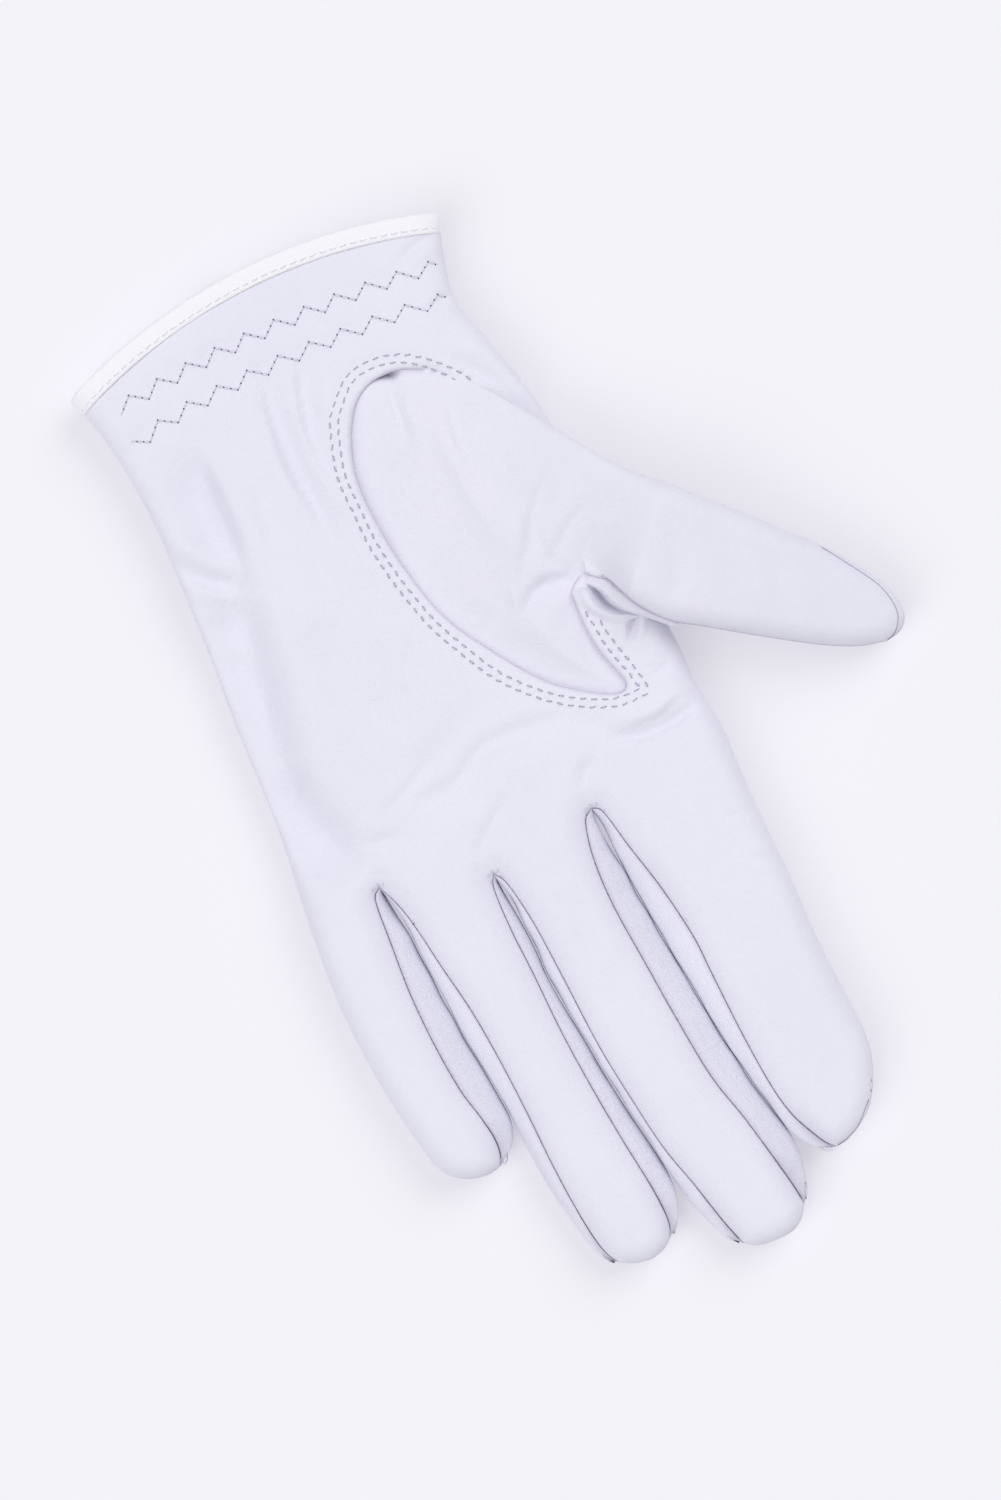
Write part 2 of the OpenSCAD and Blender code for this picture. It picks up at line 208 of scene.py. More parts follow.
# The outlines of the palm and the back, in stretches. EDGE is a folded side of the hand, TIP a fingertip,
# IN a finger's side towards the little finger and OUT its side towards the thumb. The last two are seams,
# and on the back of the hand they run elsewhere, as BACK says.
INDEX_EDGE = [(-39.2, -100), (-38.5, -96.5), (-36, -89.4), (-34.3, -81.6), (-36.1, -71.9), (-38.5, -58.7),
              (-39.6, -45), (-40.4, -25), (-40.7, -3), (-40, 8.5), (-40.5, 19), (-39.2, 33), (-38.2, 50.8),
              (-36.9, 66.8), (-36.7, 80.4), (-36.5, 86)]
INDEX_TIP = [(-36.5, 86), (-35.7, 90.5), (-33.8, 95), (-31, 99.2), (-27.8, 101.8), (-24.2, 103.5),
             (-20.5, 104.1)]
INDEX_IN = [(-9.6, 20.9), (-11.2, 22.4), (-12.5, 31.1), (-14.2, 41.4), (-15.2, 52.9), (-14.9, 61.4),
            (-14.5, 74.3), (-14.6, 86.1), (-15.5, 93.5), (-17.6, 99.5), (-19, 102.4), (-20.5, 104.1)]
INDEX_IN_BACK = [(-9.6, 21.6), (-10.1, 25), (-9.8, 31), (-9.8, 41), (-10.2, 52), (-10.7, 65), (-11.3, 77),
                 (-12.4, 88), (-13.7, 95.5), (-15.3, 99.8), (-17.6, 102.7), (-20.5, 104.1)]
MIDDLE_OUT = [(-9.6, 20.9), (-7.4, 22.4), (-5.3, 29.3), (-4.2, 39.6), (-4.3, 52.9), (-4.5, 65.9),
              (-5.1, 79.5), (-7, 90), (-8.5, 101), (-9.2, 107), (-9.4, 111)]
MIDDLE_OUT_BACK = [(-9.6, 21.6), (-9, 25), (-9.2, 31), (-9.2, 41), (-9.6, 52), (-10.1, 65), (-10.7, 77),
                   (-11.8, 88), (-13.2, 96.3), (-12.8, 103.2), (-11.2, 108.2), (-9.4, 111)]
MIDDLE_TIP = [(-9.4, 111), (-7.4, 113.4), (-4.4, 114.8), (0.1, 114.6), (3.2, 113.8), (5.3, 112.2)]
MIDDLE_IN = [(13.9, 23.1), (12.7, 25.2), (12, 30), (11.6, 37), (11.7, 49.2), (11.9, 63), (11.3, 74.9),
             (10.3, 86.9), (8.4, 96.6), (6.7, 106.5), (5.3, 112.2)]
MIDDLE_IN_BACK = [(13.9, 23.8), (13.3, 27), (13.2, 34), (13.4, 41), (13.9, 48), (13.4, 60), (12.9, 72),
                  (11.9, 83), (11.2, 94), (10.2, 100.5), (8.9, 105.7), (7.2, 109.8), (5.3, 112.2)]
RING_OUT = [(13.9, 23.1), (15.2, 25.6), (16.1, 34.4), (16.4, 44.4), (17, 57.2), (17, 69.5), (16.6, 82),
            (16, 91.9), (16, 98), (16.4, 101.6), (17.5, 104.1)]
RING_OUT_BACK = [(13.9, 23.8), (13.9, 27), (13.8, 34), (14, 41), (14.6, 48), (14.1, 60), (13.6, 72),
                 (12.7, 83), (12, 91), (12.5, 96.1), (13.7, 99.6), (15.3, 102.3), (17.5, 104.1)]
RING_TIP = [(17.5, 104.1), (19.5, 105.5), (22.4, 106.2), (25.2, 105.7), (27.4, 104.8), (29, 103.7)]
RING_IN = [(35.4, 14.6), (34, 18.5), (32.9, 24.3), (32, 34.5), (31, 44.6), (30.7, 55.5), (30.9, 67.2),
           (31.4, 79.1), (31.5, 88), (31.2, 96.1), (30.4, 101), (29, 103.7)]
RING_IN_BACK = [(35.4, 15.4), (34.4, 20), (34.3, 28), (34.4, 39), (34.5, 50), (33.9, 61.5), (34, 69),
                (34.2, 78), (33.7, 88.5), (32.3, 96.7), (31, 101.4), (29, 103.7)]
LITTLE_OUT = [(35.4, 14.6), (37.2, 16.4), (38.6, 25.6), (40, 36.1), (40.6, 47.1), (40.4, 57.7),
              (39.4, 64.4), (39, 69.5), (39.5, 73), (40.6, 75.3)]
LITTLE_OUT_BACK = [(35.4, 15.4), (35.1, 20), (34.9, 28), (35.2, 39), (35.1, 50), (34.7, 60), (34.6, 66.5),
                   (35.4, 70), (37.2, 72.8), (40.6, 75.3)]
LITTLE_TIP = [(40.6, 75.3), (43, 75.7), (46, 75.2), (49, 73.7), (51.1, 71.5)]
LITTLE_EDGE = [(51.1, 71.5), (52.4, 68), (53.1, 62.7), (53.7, 57), (54.2, 46.8), (54.1, 37.9), (53.4, 27.7),
               (51, 12.1), (48.4, -1.2), (46.7, -13.9), (45.1, -29.1), (42.9, -44.8), (41, -62.1),
               (40.2, -72.9), (40.4, -85.1), (41.7, -95.2), (43.4, -101.6)]
CUFF_CENTRE = (4.5, 8.2)
LEATHER_R = 115.0       # radius of the leather's edge at the cuff, inside its binding

# The palm's folded edge round the thumb, from the crotch round to the cuff side
OVAL_EDGE = [(-29.4, -21.3), (-27, -19.8), (-26.2, -17.2), (-25.7, -12.2), (-25.8, -6.7), (-26.9, -1.5),
             (-27.5, 1.2), (-26.9, 2.8), (-25.4, 2.9), (-22.5, 1.5), (-19, -1.1), (-14.3, -5.4),
             (-10.3, -11), (-6.9, -16.9), (-3.7, -22.9), (-1.5, -28.8), (-0.1, -36.2), (0.7, -43.6),
             (0.8, -52.1), (0.1, -59.4), (-2, -65.4), (-4.8, -70.2), (-8.1, -73.5), (-12.2, -75),
             (-17.2, -74.6), (-21.5, -72.5)]
# Its hidden part, under the thumb's leather
OVAL_UNDER = [(-21.5, -72.5), (-26.5, -66), (-30.5, -56), (-32.5, -44), (-32.5, -32), (-31.5, -25),
              (-29.4, -21.3)]
# The outer of the two stitch rows round the thumb, which meets itself in a corner near the index side
OVAL_STITCH = [(-29.4, -65.6), (-28, -68.4), (-24.9, -72.4), (-23.2, -74.1), (-20.2, -76.6), (-17, -78.2),
               (-13.3, -79), (-9.6, -79), (-6.6, -77.9), (-3.5, -75.2), (-0.6, -72.3), (1.1, -68.4),
               (3.2, -62.9), (3.9, -58.6), (4.1, -53.8), (4.5, -47.5), (4.1, -40.7), (3.1, -33.8),
               (1.5, -26.4), (-1.4, -18.8), (-4.7, -11.6), (-8.7, -6), (-13.2, -1.3), (-18.4, 2.5),
               (-23.9, 5.3), (-27.5, 5.8), (-30.8, 5.9)]
OVAL_STITCH_SIDE = [(-31.1, 5.3), (-31, 4), (-30.7, 2), (-30.6, -0.1), (-30, -2.1), (-29.7, -4.6),
                    (-29.3, -6.5), (-29.1, -8.4), (-28.8, -10.2), (-29, -12)]
OVAL_STITCH_SIDE_IN = [(-29.6, 4.4), (-29.1, 2.2), (-29, 0.2), (-28.4, -1.4), (-28.1, -3.6), (-27.6, -5.7),
                       (-27.4, -8.1), (-27.4, -10.2), (-27.3, -12.6), (-27.1, -14.9)]

# The thumb's outline: the fold on the cuff side, round the tip, and back to the crotch
THUMB_FOLD = [(-22.5, -75.5), (-25.9, -71.3), (-28.6, -66.5), (-33.2, -59.8), (-38.4, -51.1),
              (-42.4, -44.1), (-47.2, -36.3), (-54.9, -27.6), (-64.5, -16.4), (-70.7, -8.9), (-75.8, -2.6),
              (-79.8, 3.6), (-82.9, 9.6), (-83.8, 13.7)]
THUMB_TIP = [(-83.8, 13.7), (-83.3, 16.9), (-81.2, 19.1), (-77.6, 19.7)]
THUMB_EDGE = [(-77.6, 19.7), (-71.9, 17.8), (-66, 14.4), (-60.4, 10.4), (-53, 4.8), (-46, -0.7),
              (-42.3, -3.4), (-39.9, -5.8), (-38.1, -8.3), (-36.6, -10.8), (-35.5, -13.4), (-34.7, -16.1),
              (-33.7, -18.5), (-31.3, -21.2)]
THUMB_UNDER_PALM = [(-31.3, -21.2), (-30.2, -17), (-29.6, -11), (-30, -4), (-31.3, 2), (-30, 5.8), (-25, 6),
                    (-19, 2.6), (-12.5, -3), (-7.6, -9.4), (-3.6, -16.4), (-0.4, -23.6), (1.9, -30.4),
                    (3.2, -38.6), (3.9, -47.5), (3.6, -56), (1.8, -63.6), (-0.9, -70.2), (-4.6, -75.4),
                    (-9.5, -78.3), (-14.5, -78.8), (-19, -77.8), (-22.5, -75.5)]

# Directions of the thumb: along it, and across it towards the fingers
THUMB_TURN = math.radians(44)
ALONG = np.array([-math.sin(THUMB_TURN), math.cos(THUMB_TURN)])
ACROSS = np.array([math.cos(THUMB_TURN), math.sin(THUMB_TURN)])
THUMB_S0, THUMB_S1 = 8.0, 69.0          # where the free thumb starts and ends, measured along it
THUMB_MID = (13.6, 4.3)                 # height of its middle at those two places
THUMB_HALF = 3.6                        # half its thickness
THUMB_REACH = 16.0                      # how far across it the palm is still the thumb's
THUMB_ROOT = np.array([-39.4, -26.9])
THUMB_CUT, THUMB_MIDDLE_CUT = 7.0, 30.0  # where it is cut into pieces, measured along it

# Where each finger bends at its knuckle and its middle joint, and how far its cuts reach across
FINGERS = {
    "index": dict(knuckle=24, middle=52, x=(-45, -9.6)),
    "middle": dict(knuckle=26, middle=56, x=(-9.6, 13.9)),
    "ring": dict(knuckle=26, middle=54, x=(13.9, 35.3)),
    "little": dict(knuckle=18, middle=41, x=(35.3, 59)),
}
KNUCKLE_CUT, MIDDLE_CUT = 2.0, 3.0      # how far before its axis each bend starts
BEND_AFTER = 8.0                        # how far beyond its axis each bend ends
# The sides between which the line from each finger to the next runs midway
BORDERS = [(INDEX_IN_BACK, MIDDLE_OUT_BACK), (MIDDLE_IN_BACK, RING_OUT_BACK), (RING_IN_BACK, LITTLE_OUT_BACK)]


def bend_of(finger, end):
    """Where the bend into a finger's root or tip starts and ends."""
    if end == "root":
        return FINGERS[finger]["knuckle"] - KNUCKLE_CUT, FINGERS[finger]["knuckle"] + BEND_AFTER
    return FINGERS[finger]["middle"] - MIDDLE_CUT, FINGERS[finger]["middle"] + BEND_AFTER


def wrist(y):
    """1 over the closed tab, 0 beyond it."""
    return smooth((-40.0 - y) / 13.0)


def edge(points, z, reach, roundness, seam, easing=None):
    """One stretch of an outline, with four facts at each point.

    They are its height, how far in its rounding reaches, the shape of that rounding (1 for a fold,
    0 for a flat seam), and how much of a seam shows: its groove, and its dark line, which along the
    palm's edge round the thumb is partly painted shadow. With easing, the last fifth of the stretch
    eases over to those four facts.
    """
    curve = points if isinstance(points, np.ndarray) else spline(points)
    row = np.array([z, reach, roundness, seam], float)
    value = np.tile(row, (len(curve), 1))
    if easing is not None:
        share = smooth((np.linspace(0, 1, len(curve)) - 0.8) / 0.2)[:, None]
        value = value + (np.array(easing, float) - row) * share
    return curve, value


def flipped(one):
    """A stretch of an outline in the other direction."""
    return one[0][::-1], one[1][::-1]


def inside_cuff(curve, radius):
    """The part of a curve inside the cuff's circle, where the curve starts outside it."""
    r = np.linalg.norm(curve - CUFF_CENTRE, axis=1)
    i = int(np.argmax(r < radius))
    t = (r[i - 1] - radius) / (r[i - 1] - r[i])
    return np.vstack([curve[i - 1] + t * (curve[i] - curve[i - 1]), curve[i:]])


def fold(points):
    """A stretch along a folded side of the hand."""
    one = edge(points, FOLD_Z, 5.0, 1.0, 0.0)
    one[1][:, 0] += FOLD_RISE * wrist(one[0][:, 1])
    return one


TIP_FACTS = (FOLD_Z, 5.0, 1.0, 1.0)
INDEX_FOLD = fold(inside_cuff(spline(INDEX_EDGE), LEATHER_R))
LITTLE_FOLD = fold(inside_cuff(spline(LITTLE_EDGE)[::-1], LEATHER_R)[::-1])
FINGER_TIPS = [edge(p, *TIP_FACTS) for p in (INDEX_TIP, MIDDLE_TIP, RING_TIP, LITTLE_TIP)]
PALM_SIDES = [edge(p, SEAM_Z, 5.5, 0.15, 1.0, TIP_FACTS)
              for p in (INDEX_IN, MIDDLE_OUT, MIDDLE_IN, RING_OUT, RING_IN, LITTLE_OUT)]
BACK_SIDES = [edge(p, BACK_SEAM_Z, 5.5, 0.15, 1.0, TIP_FACTS)
              for p in (INDEX_IN_BACK, MIDDLE_OUT_BACK, MIDDLE_IN_BACK, RING_OUT_BACK, RING_IN_BACK,
                        LITTLE_OUT_BACK)]


def hand_outline(sides):
    """The outline of the palm or the back with its four fingers, from one end of the cuff to the other."""
    return [INDEX_FOLD, FINGER_TIPS[0], flipped(sides[0]), sides[1], FINGER_TIPS[1], flipped(sides[2]),
            sides[3], FINGER_TIPS[2], flipped(sides[4]), sides[5], FINGER_TIPS[3], LITTLE_FOLD]


EASE_REACH, EASE_WIDTH = 4, 1.8         # how the facts of joined edges are averaged, in points


def chained(edges):
    """Edges end to end as one, with what they carry eased over the corners between them."""
    curve = join(*[c for c, _ in edges])
    value = [edges[0][1]]
    last = edges[0][0][-1]
    for c, v in edges[1:]:
        value.append(v[1:] if shared(last, c[0]) else v)
        last = c[-1]
    value = np.vstack(value)
    kernel = np.exp(-0.5 * (np.arange(-EASE_REACH, EASE_REACH + 1) / EASE_WIDTH) ** 2)
    kernel /= kernel.sum()
    for k in range(value.shape[1]):
        padded = np.pad(value[:, k], EASE_REACH, "edge")
        value[:, k] = np.convolve(padded, kernel, "valid")
    return curve, value


def angle_of(p):
    """A point's direction from the middle of the cuff's circle, in degrees."""
    return math.degrees(math.atan2(p[1] - CUFF_CENTRE[1], p[0] - CUFF_CENTRE[0])) % 360


CUFF_RIGHT, CUFF_LEFT = angle_of(LITTLE_FOLD[0][-1]), angle_of(INDEX_FOLD[0][0])


# ---------------- creases and folds

CREASE_DEPTH = 1.7                  # how deep a crease of depth 1 is
CREST, CREST_OFF = 0.35, 1.9        # its crest, on its wide side: its height as a share, and its widths off
# Each crease: its line, its depth (a negative depth is a ridge), its width on the steep side, and
# how much wider the other side is
CREASES = [
    ([(7.4, -86.5), (8.8, -80.2), (10, -74), (10.8, -67.3), (10.6, -58.1), (10.4, -50)], 0.95, 0.95, 3.6),
    ([(-0.9, -86), (2.4, -78.6), (4.5, -70.3), (5, -60)], 0.8, 0.9, 3.6),
    ([(43, -65), (40.9, -62.2), (38.7, -58.6), (35.8, -55.2), (30.3, -51.1)], 0.9, 1.4, 1.7),
    ([(-14.8, 2.6), (-11.8, 1.5), (-6.3, 0.4), (-0.7, -0.5), (4.5, -0.3), (8.8, 2), (12.7, 3.5),
      (16.6, 3.4), (22, 2)], 0.5, 1.6, 2.2),
    ([(13, -3.6), (20.7, -0.6), (28.5, 2.5)], 0.22, 0.8, 1.8),
    ([(26, 8), (30.5, 6.2), (34.6, 6.4)], 0.3, 1.2, 2.2),
    ([(-14, 3), (-17, 6), (-20.5, 9)], 0.3, 1.5, 2),
    ([(-19, 10.4), (-26.3, 13.2), (-33.1, 13.4), (-38.4, 12.2)], 0.75, 0.8, 2.4),
    ([(-24.3, 10.6), (-30.3, 11.2), (-36.8, 9.6)], 0.35, 0.6, 1.6),
    ([(-31.5, 3.7), (-35.6, 3), (-39.4, 0.6)], 0.35, 0.6, 1.8),
    ([(-31, 1.2), (-34.6, 1.4), (-38.4, -1.6)], 0.25, 0.5, 1.6),
    ([(14.6, 20), (12.8, 17.2), (9, 14), (3.5, 10.9)], 0.3, 0.8, 2),
    ([(-10.4, 17.4), (-11.8, 14.4), (-15.4, 12.4)], 0.35, 1, 1.8),
    ([(-37.4, 48.2), (-34.8, 45.9), (-31.6, 43.7)], 0.2, 0.5, 1.5),
    ([(-38.2, 36.4), (-35, 36), (-32, 34.6)], 0.2, 0.5, 1.5),
    ([(-37, -95), (-32.3, -95.1), (-27.2, -93.4)], 0.35, 0.7, 1.8),
    ([(-35, -84.4), (-30.6, -82.6), (-27, -82.6)], 0.35, 0.7, 1.8),
    ([(18, -74), (18.8, -66), (20.6, -56)], 0.3, 1.6, 1.6),
    ([(14, -60), (14.4, -50), (13.4, -38)], 0.25, 2.4, 1.6),
    ([(24.5, -38), (22.5, -25), (17.7, -15.1), (10, -11)], 0.5, 4, 1.6),
    ([(6, -14), (12, -10), (20, -8)], -0.3, 4, 1),
    ([(-27.5, -71.5), (-31.5, -65.5), (-36, -57.5), (-40.5, -50)], 0.9, 1.6, 1.6),
    ([(46, -4), (42, -10), (37, -14)], 0.4, 1.6, 2),
    ([(3.4, 33), (3, 40), (5, 48)], 0.2, 2, 1.5),
    ([(-36.4, -10.2), (-34.9, -8.5), (-33.8, -7.1), (-32.3, -5.2)], 1.1, 0.6, 1.6),
]
THUMB_CREASES = [
    ([(-14.2, -73.6), (-13, -67.8), (-12, -60.6)], 0.55, 0.8, 2),
    ([(-19, -69.5), (-18.4, -58.5), (-17.9, -47.3), (-18.8, -38.7), (-20.7, -29.7)], -0.4, 1.6, 2.2),
    ([(-23, -64.5), (-21.4, -56.5), (-21, -48.3)], 0.4, 1, 1.8),
    ([(-34.7, -43.4), (-27.5, -36.8), (-22.4, -30.5), (-18.4, -25.4)], 0.4, 1.1, 2.2),
    ([(-29.3, -20.6), (-24.9, -22.9), (-20.3, -22.9), (-15.8, -19.6)], 0.65, 1.1, 2.4),
    ([(-41.5, -34.4), (-32.6, -31), (-24.6, -26)], 0.32, 1.1, 2.2),
    ([(-28, -22.8), (-25.6, -28.4), (-26.4, -34.6)], 0.32, 1, 2),
    ([(-30.6, -22.6), (-34.6, -26), (-39.6, -27)], 0.3, 1, 2),
    ([(-9.4, -20.4), (-13.6, -23.4), (-15.6, -30.4)], 0.35, 1.6, 1.8),
    ([(-49.4, -20.4), (-46.6, -12.4), (-42.6, -7.4)], 0.2, 1.6, 1.8),
    ([(-66, -8), (-63, 0), (-60, 5)], 0.15, 1.6, 1.8),
]


def beside(points, curve):
    """For each point, four facts of the nearest place on a curve.

    They are how far along the curve that place is (0 to 1), how far off the point is, how far to
    the curve's left it is, and how far along the curve's direction.
    """
    away = points[:, None, :] - curve[None, :, :]
    distance = np.linalg.norm(away, axis=2)
    nearest = distance.argmin(1)
    each = np.arange(len(points))
    direction = np.gradient(curve, axis=0)[nearest]
    direction /= np.linalg.norm(direction, axis=1)[:, None]
    off = away[each, nearest]
    left = direction[:, 0] * off[:, 1] - direction[:, 1] * off[:, 0]
    ahead = np.abs((off * direction).sum(1))
    return np.linspace(0, 1, len(curve))[nearest], distance[each, nearest], left, ahead


def bell(x):
    """1 where x is 0, falling to 0 on both sides."""
    return np.exp(-x**2)


def distance_to(points, *curves):
    """How far the points are from the nearest of some open curves."""
    return Nearest(curves, closed=False)(points)[0]


def creased(points, creases):
    """The change in height that the creases make at the points: each a groove with a low crest beside it."""
    total = np.zeros(len(points))
    for line, depth, width, other in creases:
        curve = spline(line, 1.0)
        reach = 4.5 * width * other
        near = np.all((points > curve.min(0) - reach) & (points < curve.max(0) + reach), axis=1)
        if not near.any():
            continue
        t, distance, left, ahead = beside(points[near], curve)
        taper = np.sin(np.pi * np.clip(t * 0.94 + 0.03, 0, 1)) ** 0.7
        groove = bell(distance / np.where(left > 0, width * other, width))
        crest = CREST * bell((left - CREST_OFF * width * other) / (width * other)) * bell(ahead / 2)
        total[near] -= CREASE_DEPTH * depth * taper * (groove - crest)
    return total


# Broad folds down the little finger's side of the palm: each one's line, its depth, and its width on
# the thumb's side and on the outer side
BROAD_FOLDS = [
    ([(36.6, 14), (39.4, 5), (41.8, -5), (42.2, -15), (39.8, -25), (37.4, -34), (35.6, -42), (33.4, -50),
      (31.4, -58)], 3.7, 4.8, 8),
    ([(31.5, -49), (29.4, -56), (28.4, -66), (27.6, -76), (27, -83.5)], 2.7, 2.1, 6),
    ([(37.6, -27), (39.8, -37), (43.6, -46.5)], 0.9, 2.2, 4),
]
FOLD_TAPER = 15.0       # how far from its ends a broad fold has its full depth
FOLD_CREST = 0.2        # the crest on its steep side: its height as a share of that depth,
FOLD_CREST_OFF, FOLD_CREST_WIDTH = 2.2, 1.2     # and how far off and how wide it is, in steep widths


def folded(points):
    """The change in height that the broad folds make at the points."""
    total = np.zeros(len(points))
    for line, depth, steep, gentle in BROAD_FOLDS:
        curve = spline(line, 1.0)
        t, distance, left, _ = beside(points, curve)
        taper = smooth(np.minimum(t, 1 - t) * len(curve) / FOLD_TAPER)
        bottom = bell(distance / np.where(left > 0, gentle, steep))
        crest = FOLD_CREST * bell((left + FOLD_CREST_OFF * steep) / (FOLD_CREST_WIDTH * steep))
        crest = crest * bell((distance - np.abs(left)) / 3)
        total -= depth * taper * (bottom - crest)
    return total


# Where else the leather is finely crinkled: centre, radius and amount
PATCHES = [((12, 0.5), 9, 0.5), ((29, -52), 7, 0.6), ((37, -37), 6, 0.6), ((5, -72), 6, 0.4),
           ((-33, 4), 5, 0.6), ((27, -25), 6, 0.4), ((12, 15), 4, 0.5), ((-24, -24), 6, 0.5),
           ((36, 9), 4, 0.5), ((-13, 16), 4, 0.4)]


def crinkled(points, creases):
    """How finely crinkled the leather is at the points, from 0 to 1: most in its creases. It sets the
    crinkles' bumps and their painted shade.
    """
    total = np.zeros(len(points))
    lines = [(line, min(1.0, 1.2 * abs(depth)), 1.3 * width + 1.0) for line, depth, width, _ in creases]
    if creases is CREASES:
        lines += [(line, 0.25 * depth, 1.2 * steep) for line, depth, steep, _ in BROAD_FOLDS]
    for line, amount, width in lines:
        total += amount * bell(distance_to(points, spline(line, 1.0)) / width)
    for centre, radius, amount in PATCHES:
        total += amount * np.exp(-((points - centre) ** 2).sum(1) / radius**2)
    return np.clip(total, 0, 1)


# ---------------- sheets of leather

HEX_ROW = 0.866         # distance between the rows of a triangular grid, as a share of its spacing
UNEVEN = 0.12           # how far its points are moved, as the same share


def hex_grid(low, high, spacing, seed):
    """Points on a slightly uneven triangular grid."""
    rng = np.random.default_rng(seed)
    rows = []
    for j, y in enumerate(np.arange(low[1], high[1], spacing * HEX_ROW)):
        x = np.arange(low[0] + (j % 2) * spacing / 2, high[0], spacing)
        rows.append(np.stack([x, np.full(len(x), y)], axis=1))
    p = np.vstack(rows)
    return p + rng.uniform(-UNEVEN, UNEVEN, p.shape) * spacing


RINGS = (0.1, 0.35, 0.8, 1.4, 2.2, 3.2)         # distances from the outline of its rings of points
RING_ERROR = 0.04                               # how far off its ring a point may be
FILL_GAP, CUT_GAP = 0.55, 0.45                  # room round the rings and the cuts, as shares of the spacing
SMALLEST = 1e-7                                 # area below which a triangle is left out


def between(points, loops):
    """Which points lie inside the first loop and outside the others."""
    keep = inside(points, loops[0])
    for hole in loops[1:]:
        keep &= ~inside(points, hole)
    return keep


def triangulate(loops, cuts, spacing, seed):
    """Even triangles inside the first loop and outside the others, with edges along the cuts."""
    near = Nearest(loops)
    ringed, want = [], []
    for loop in loops:
        d = np.roll(loop, -1, axis=0) - np.roll(loop, 1, axis=0)
        normal = np.stack([-d[:, 1], d[:, 0]], axis=1) / np.linalg.norm(d, axis=1)[:, None]
        for r in RINGS:
            ringed += [loop + normal * r, loop - normal * r]
            want.append(np.full(2 * len(loop), r))
    ringed = np.vstack(ringed)
    ringed = ringed[np.abs(near(ringed)[0] - np.concatenate(want)) < RING_ERROR]
    fill = hex_grid(loops[0].min(0), loops[0].max(0), spacing, seed)
    fill = fill[near(fill)[0] > RINGS[-1] + FILL_GAP * spacing]
    points = np.vstack([ringed, fill])
    points = points[between(points, loops)]
    if cuts:
        points = points[distance_to(points, *cuts) > CUT_GAP * spacing]
    verts, edges = [], []
    for curve, closed in [(l, True) for l in loops] + [(c, False) for c in cuts]:
        start = len(verts)
        verts += [Vector(p) for p in curve]
        n = len(curve)
        edges += [(start + i, start + (i + 1) % n) for i in range(n if closed else n - 1)]
    verts += [Vector(p) for p in points]
    made = delaunay_2d_cdt(verts, edges, [], 0, 1e-4)
    v = np.array([(p.x, p.y) for p in made[0]])
    f = np.array([list(t) for t in made[2]])
    f = f[between(v[f].mean(1), loops)]
    a, b, c = v[f[:, 0]], v[f[:, 1]], v[f[:, 2]]
    area = (b[:, 0] - a[:, 0]) * (c[:, 1] - a[:, 1]) - (b[:, 1] - a[:, 1]) * (c[:, 0] - a[:, 0])
    f = f[np.abs(area) > SMALLEST]
    area = area[np.abs(area) > SMALLEST]
    f[area < 0] = f[area < 0][:, ::-1]
    return v, f


def normals_of(v, f):
    """Smooth normals of a mesh of triangles at its points."""
    a, b, c = v[f[:, 0]], v[f[:, 1]], v[f[:, 2]]
    n = np.cross(b - a, c - a)
    total = np.zeros_like(v)
    for k in range(3):
        np.add.at(total, f[:, k], n)
    return total / np.maximum(np.linalg.norm(total, axis=1), 1e-12)[:, None]


def make_mesh(name, verts, faces, normals, material, seam=None, crinkle=None):
    """A mesh object in metres. Normals, where they are given, are one for each corner of each face."""
    mesh = bpy.data.meshes.new(name)
    mesh.from_pydata((verts * MM).tolist(), [], [list(f) for f in faces])
    mesh.update()
    mesh.materials.append(material)
    mesh.polygons.foreach_set("use_smooth", np.ones(len(mesh.polygons), bool))
    if normals is not None:
        mesh.normals_split_custom_set(normals.tolist())
    rest = mesh.attributes.new("rest_mm", "FLOAT_VECTOR", "POINT")
    rest.data.foreach_set("vector", verts.astype(np.float32).ravel())
    for mark_name, values in (("seam", seam), ("crinkle", crinkle)):
        if values is not None:
            mark = mesh.attributes.new(mark_name, "FLOAT", "POINT")
            mark.data.foreach_set("value", values.astype(np.float32))
    obj = bpy.data.objects.new(name, mesh)
    bpy.context.scene.collection.objects.link(obj)
    return obj


def closed_faces(f, count):
    """The faces of a solid made of triangles and a copy of them that starts count points later.

    Returns the faces of its rim, which join every edge that only one triangle has to its copy, and
    then all its faces.
    """
    open_edges = {}
    for t in f:
        for k in range(3):
            a, b = int(t[k]), int(t[(k + 1) % 3])
            if (b, a) in open_edges:
                del open_edges[(b, a)]
            else:
                open_edges[(a, b)] = True
    rim = [(b, a, a + count, b + count) for a, b in open_edges]
    return np.array(rim), [tuple(t) for t in f] + [tuple(t[::-1] + count) for t in f] + rim


def leather_piece(name, v, f, n, material, seam, thick=LEATHER, crinkle=None):
    """Closes one side of leather into a solid: an inner face, and a rim along every open edge."""
    used = np.unique(f)
    back = np.full(len(v), -1)
    back[used] = np.arange(len(used))
    f = back[f]
    v, n = v[used], n[used]
    crinkle = np.zeros(len(used)) if crinkle is None else crinkle[used]
    count = len(v)
    rim, faces = closed_faces(f, count)
    verts = np.vstack([v, v - n * thick])
    across = verts[rim[:, 2]] - verts[rim[:, 1]]
    along = verts[rim[:, 0]] - verts[rim[:, 1]]
    rim_n = np.cross(along, across)
    rim_n /= np.maximum(np.linalg.norm(rim_n, axis=1), 1e-12)[:, None]
    corner = np.vstack([n[f].reshape(-1, 3), -n[f[:, ::-1]].reshape(-1, 3), -np.repeat(rim_n, 4, axis=0)])
    seam = np.concatenate([seam[used], np.zeros(count)])
    return make_mesh(name, verts, faces, corner, material, seam, np.concatenate([crinkle, crinkle]))


def two_triangles(quads):
    """Each quad as two triangles, as arrays."""
    quads = np.array(quads)
    return np.vstack([quads[:, [0, 1, 2]], quads[:, [0, 2, 3]]])


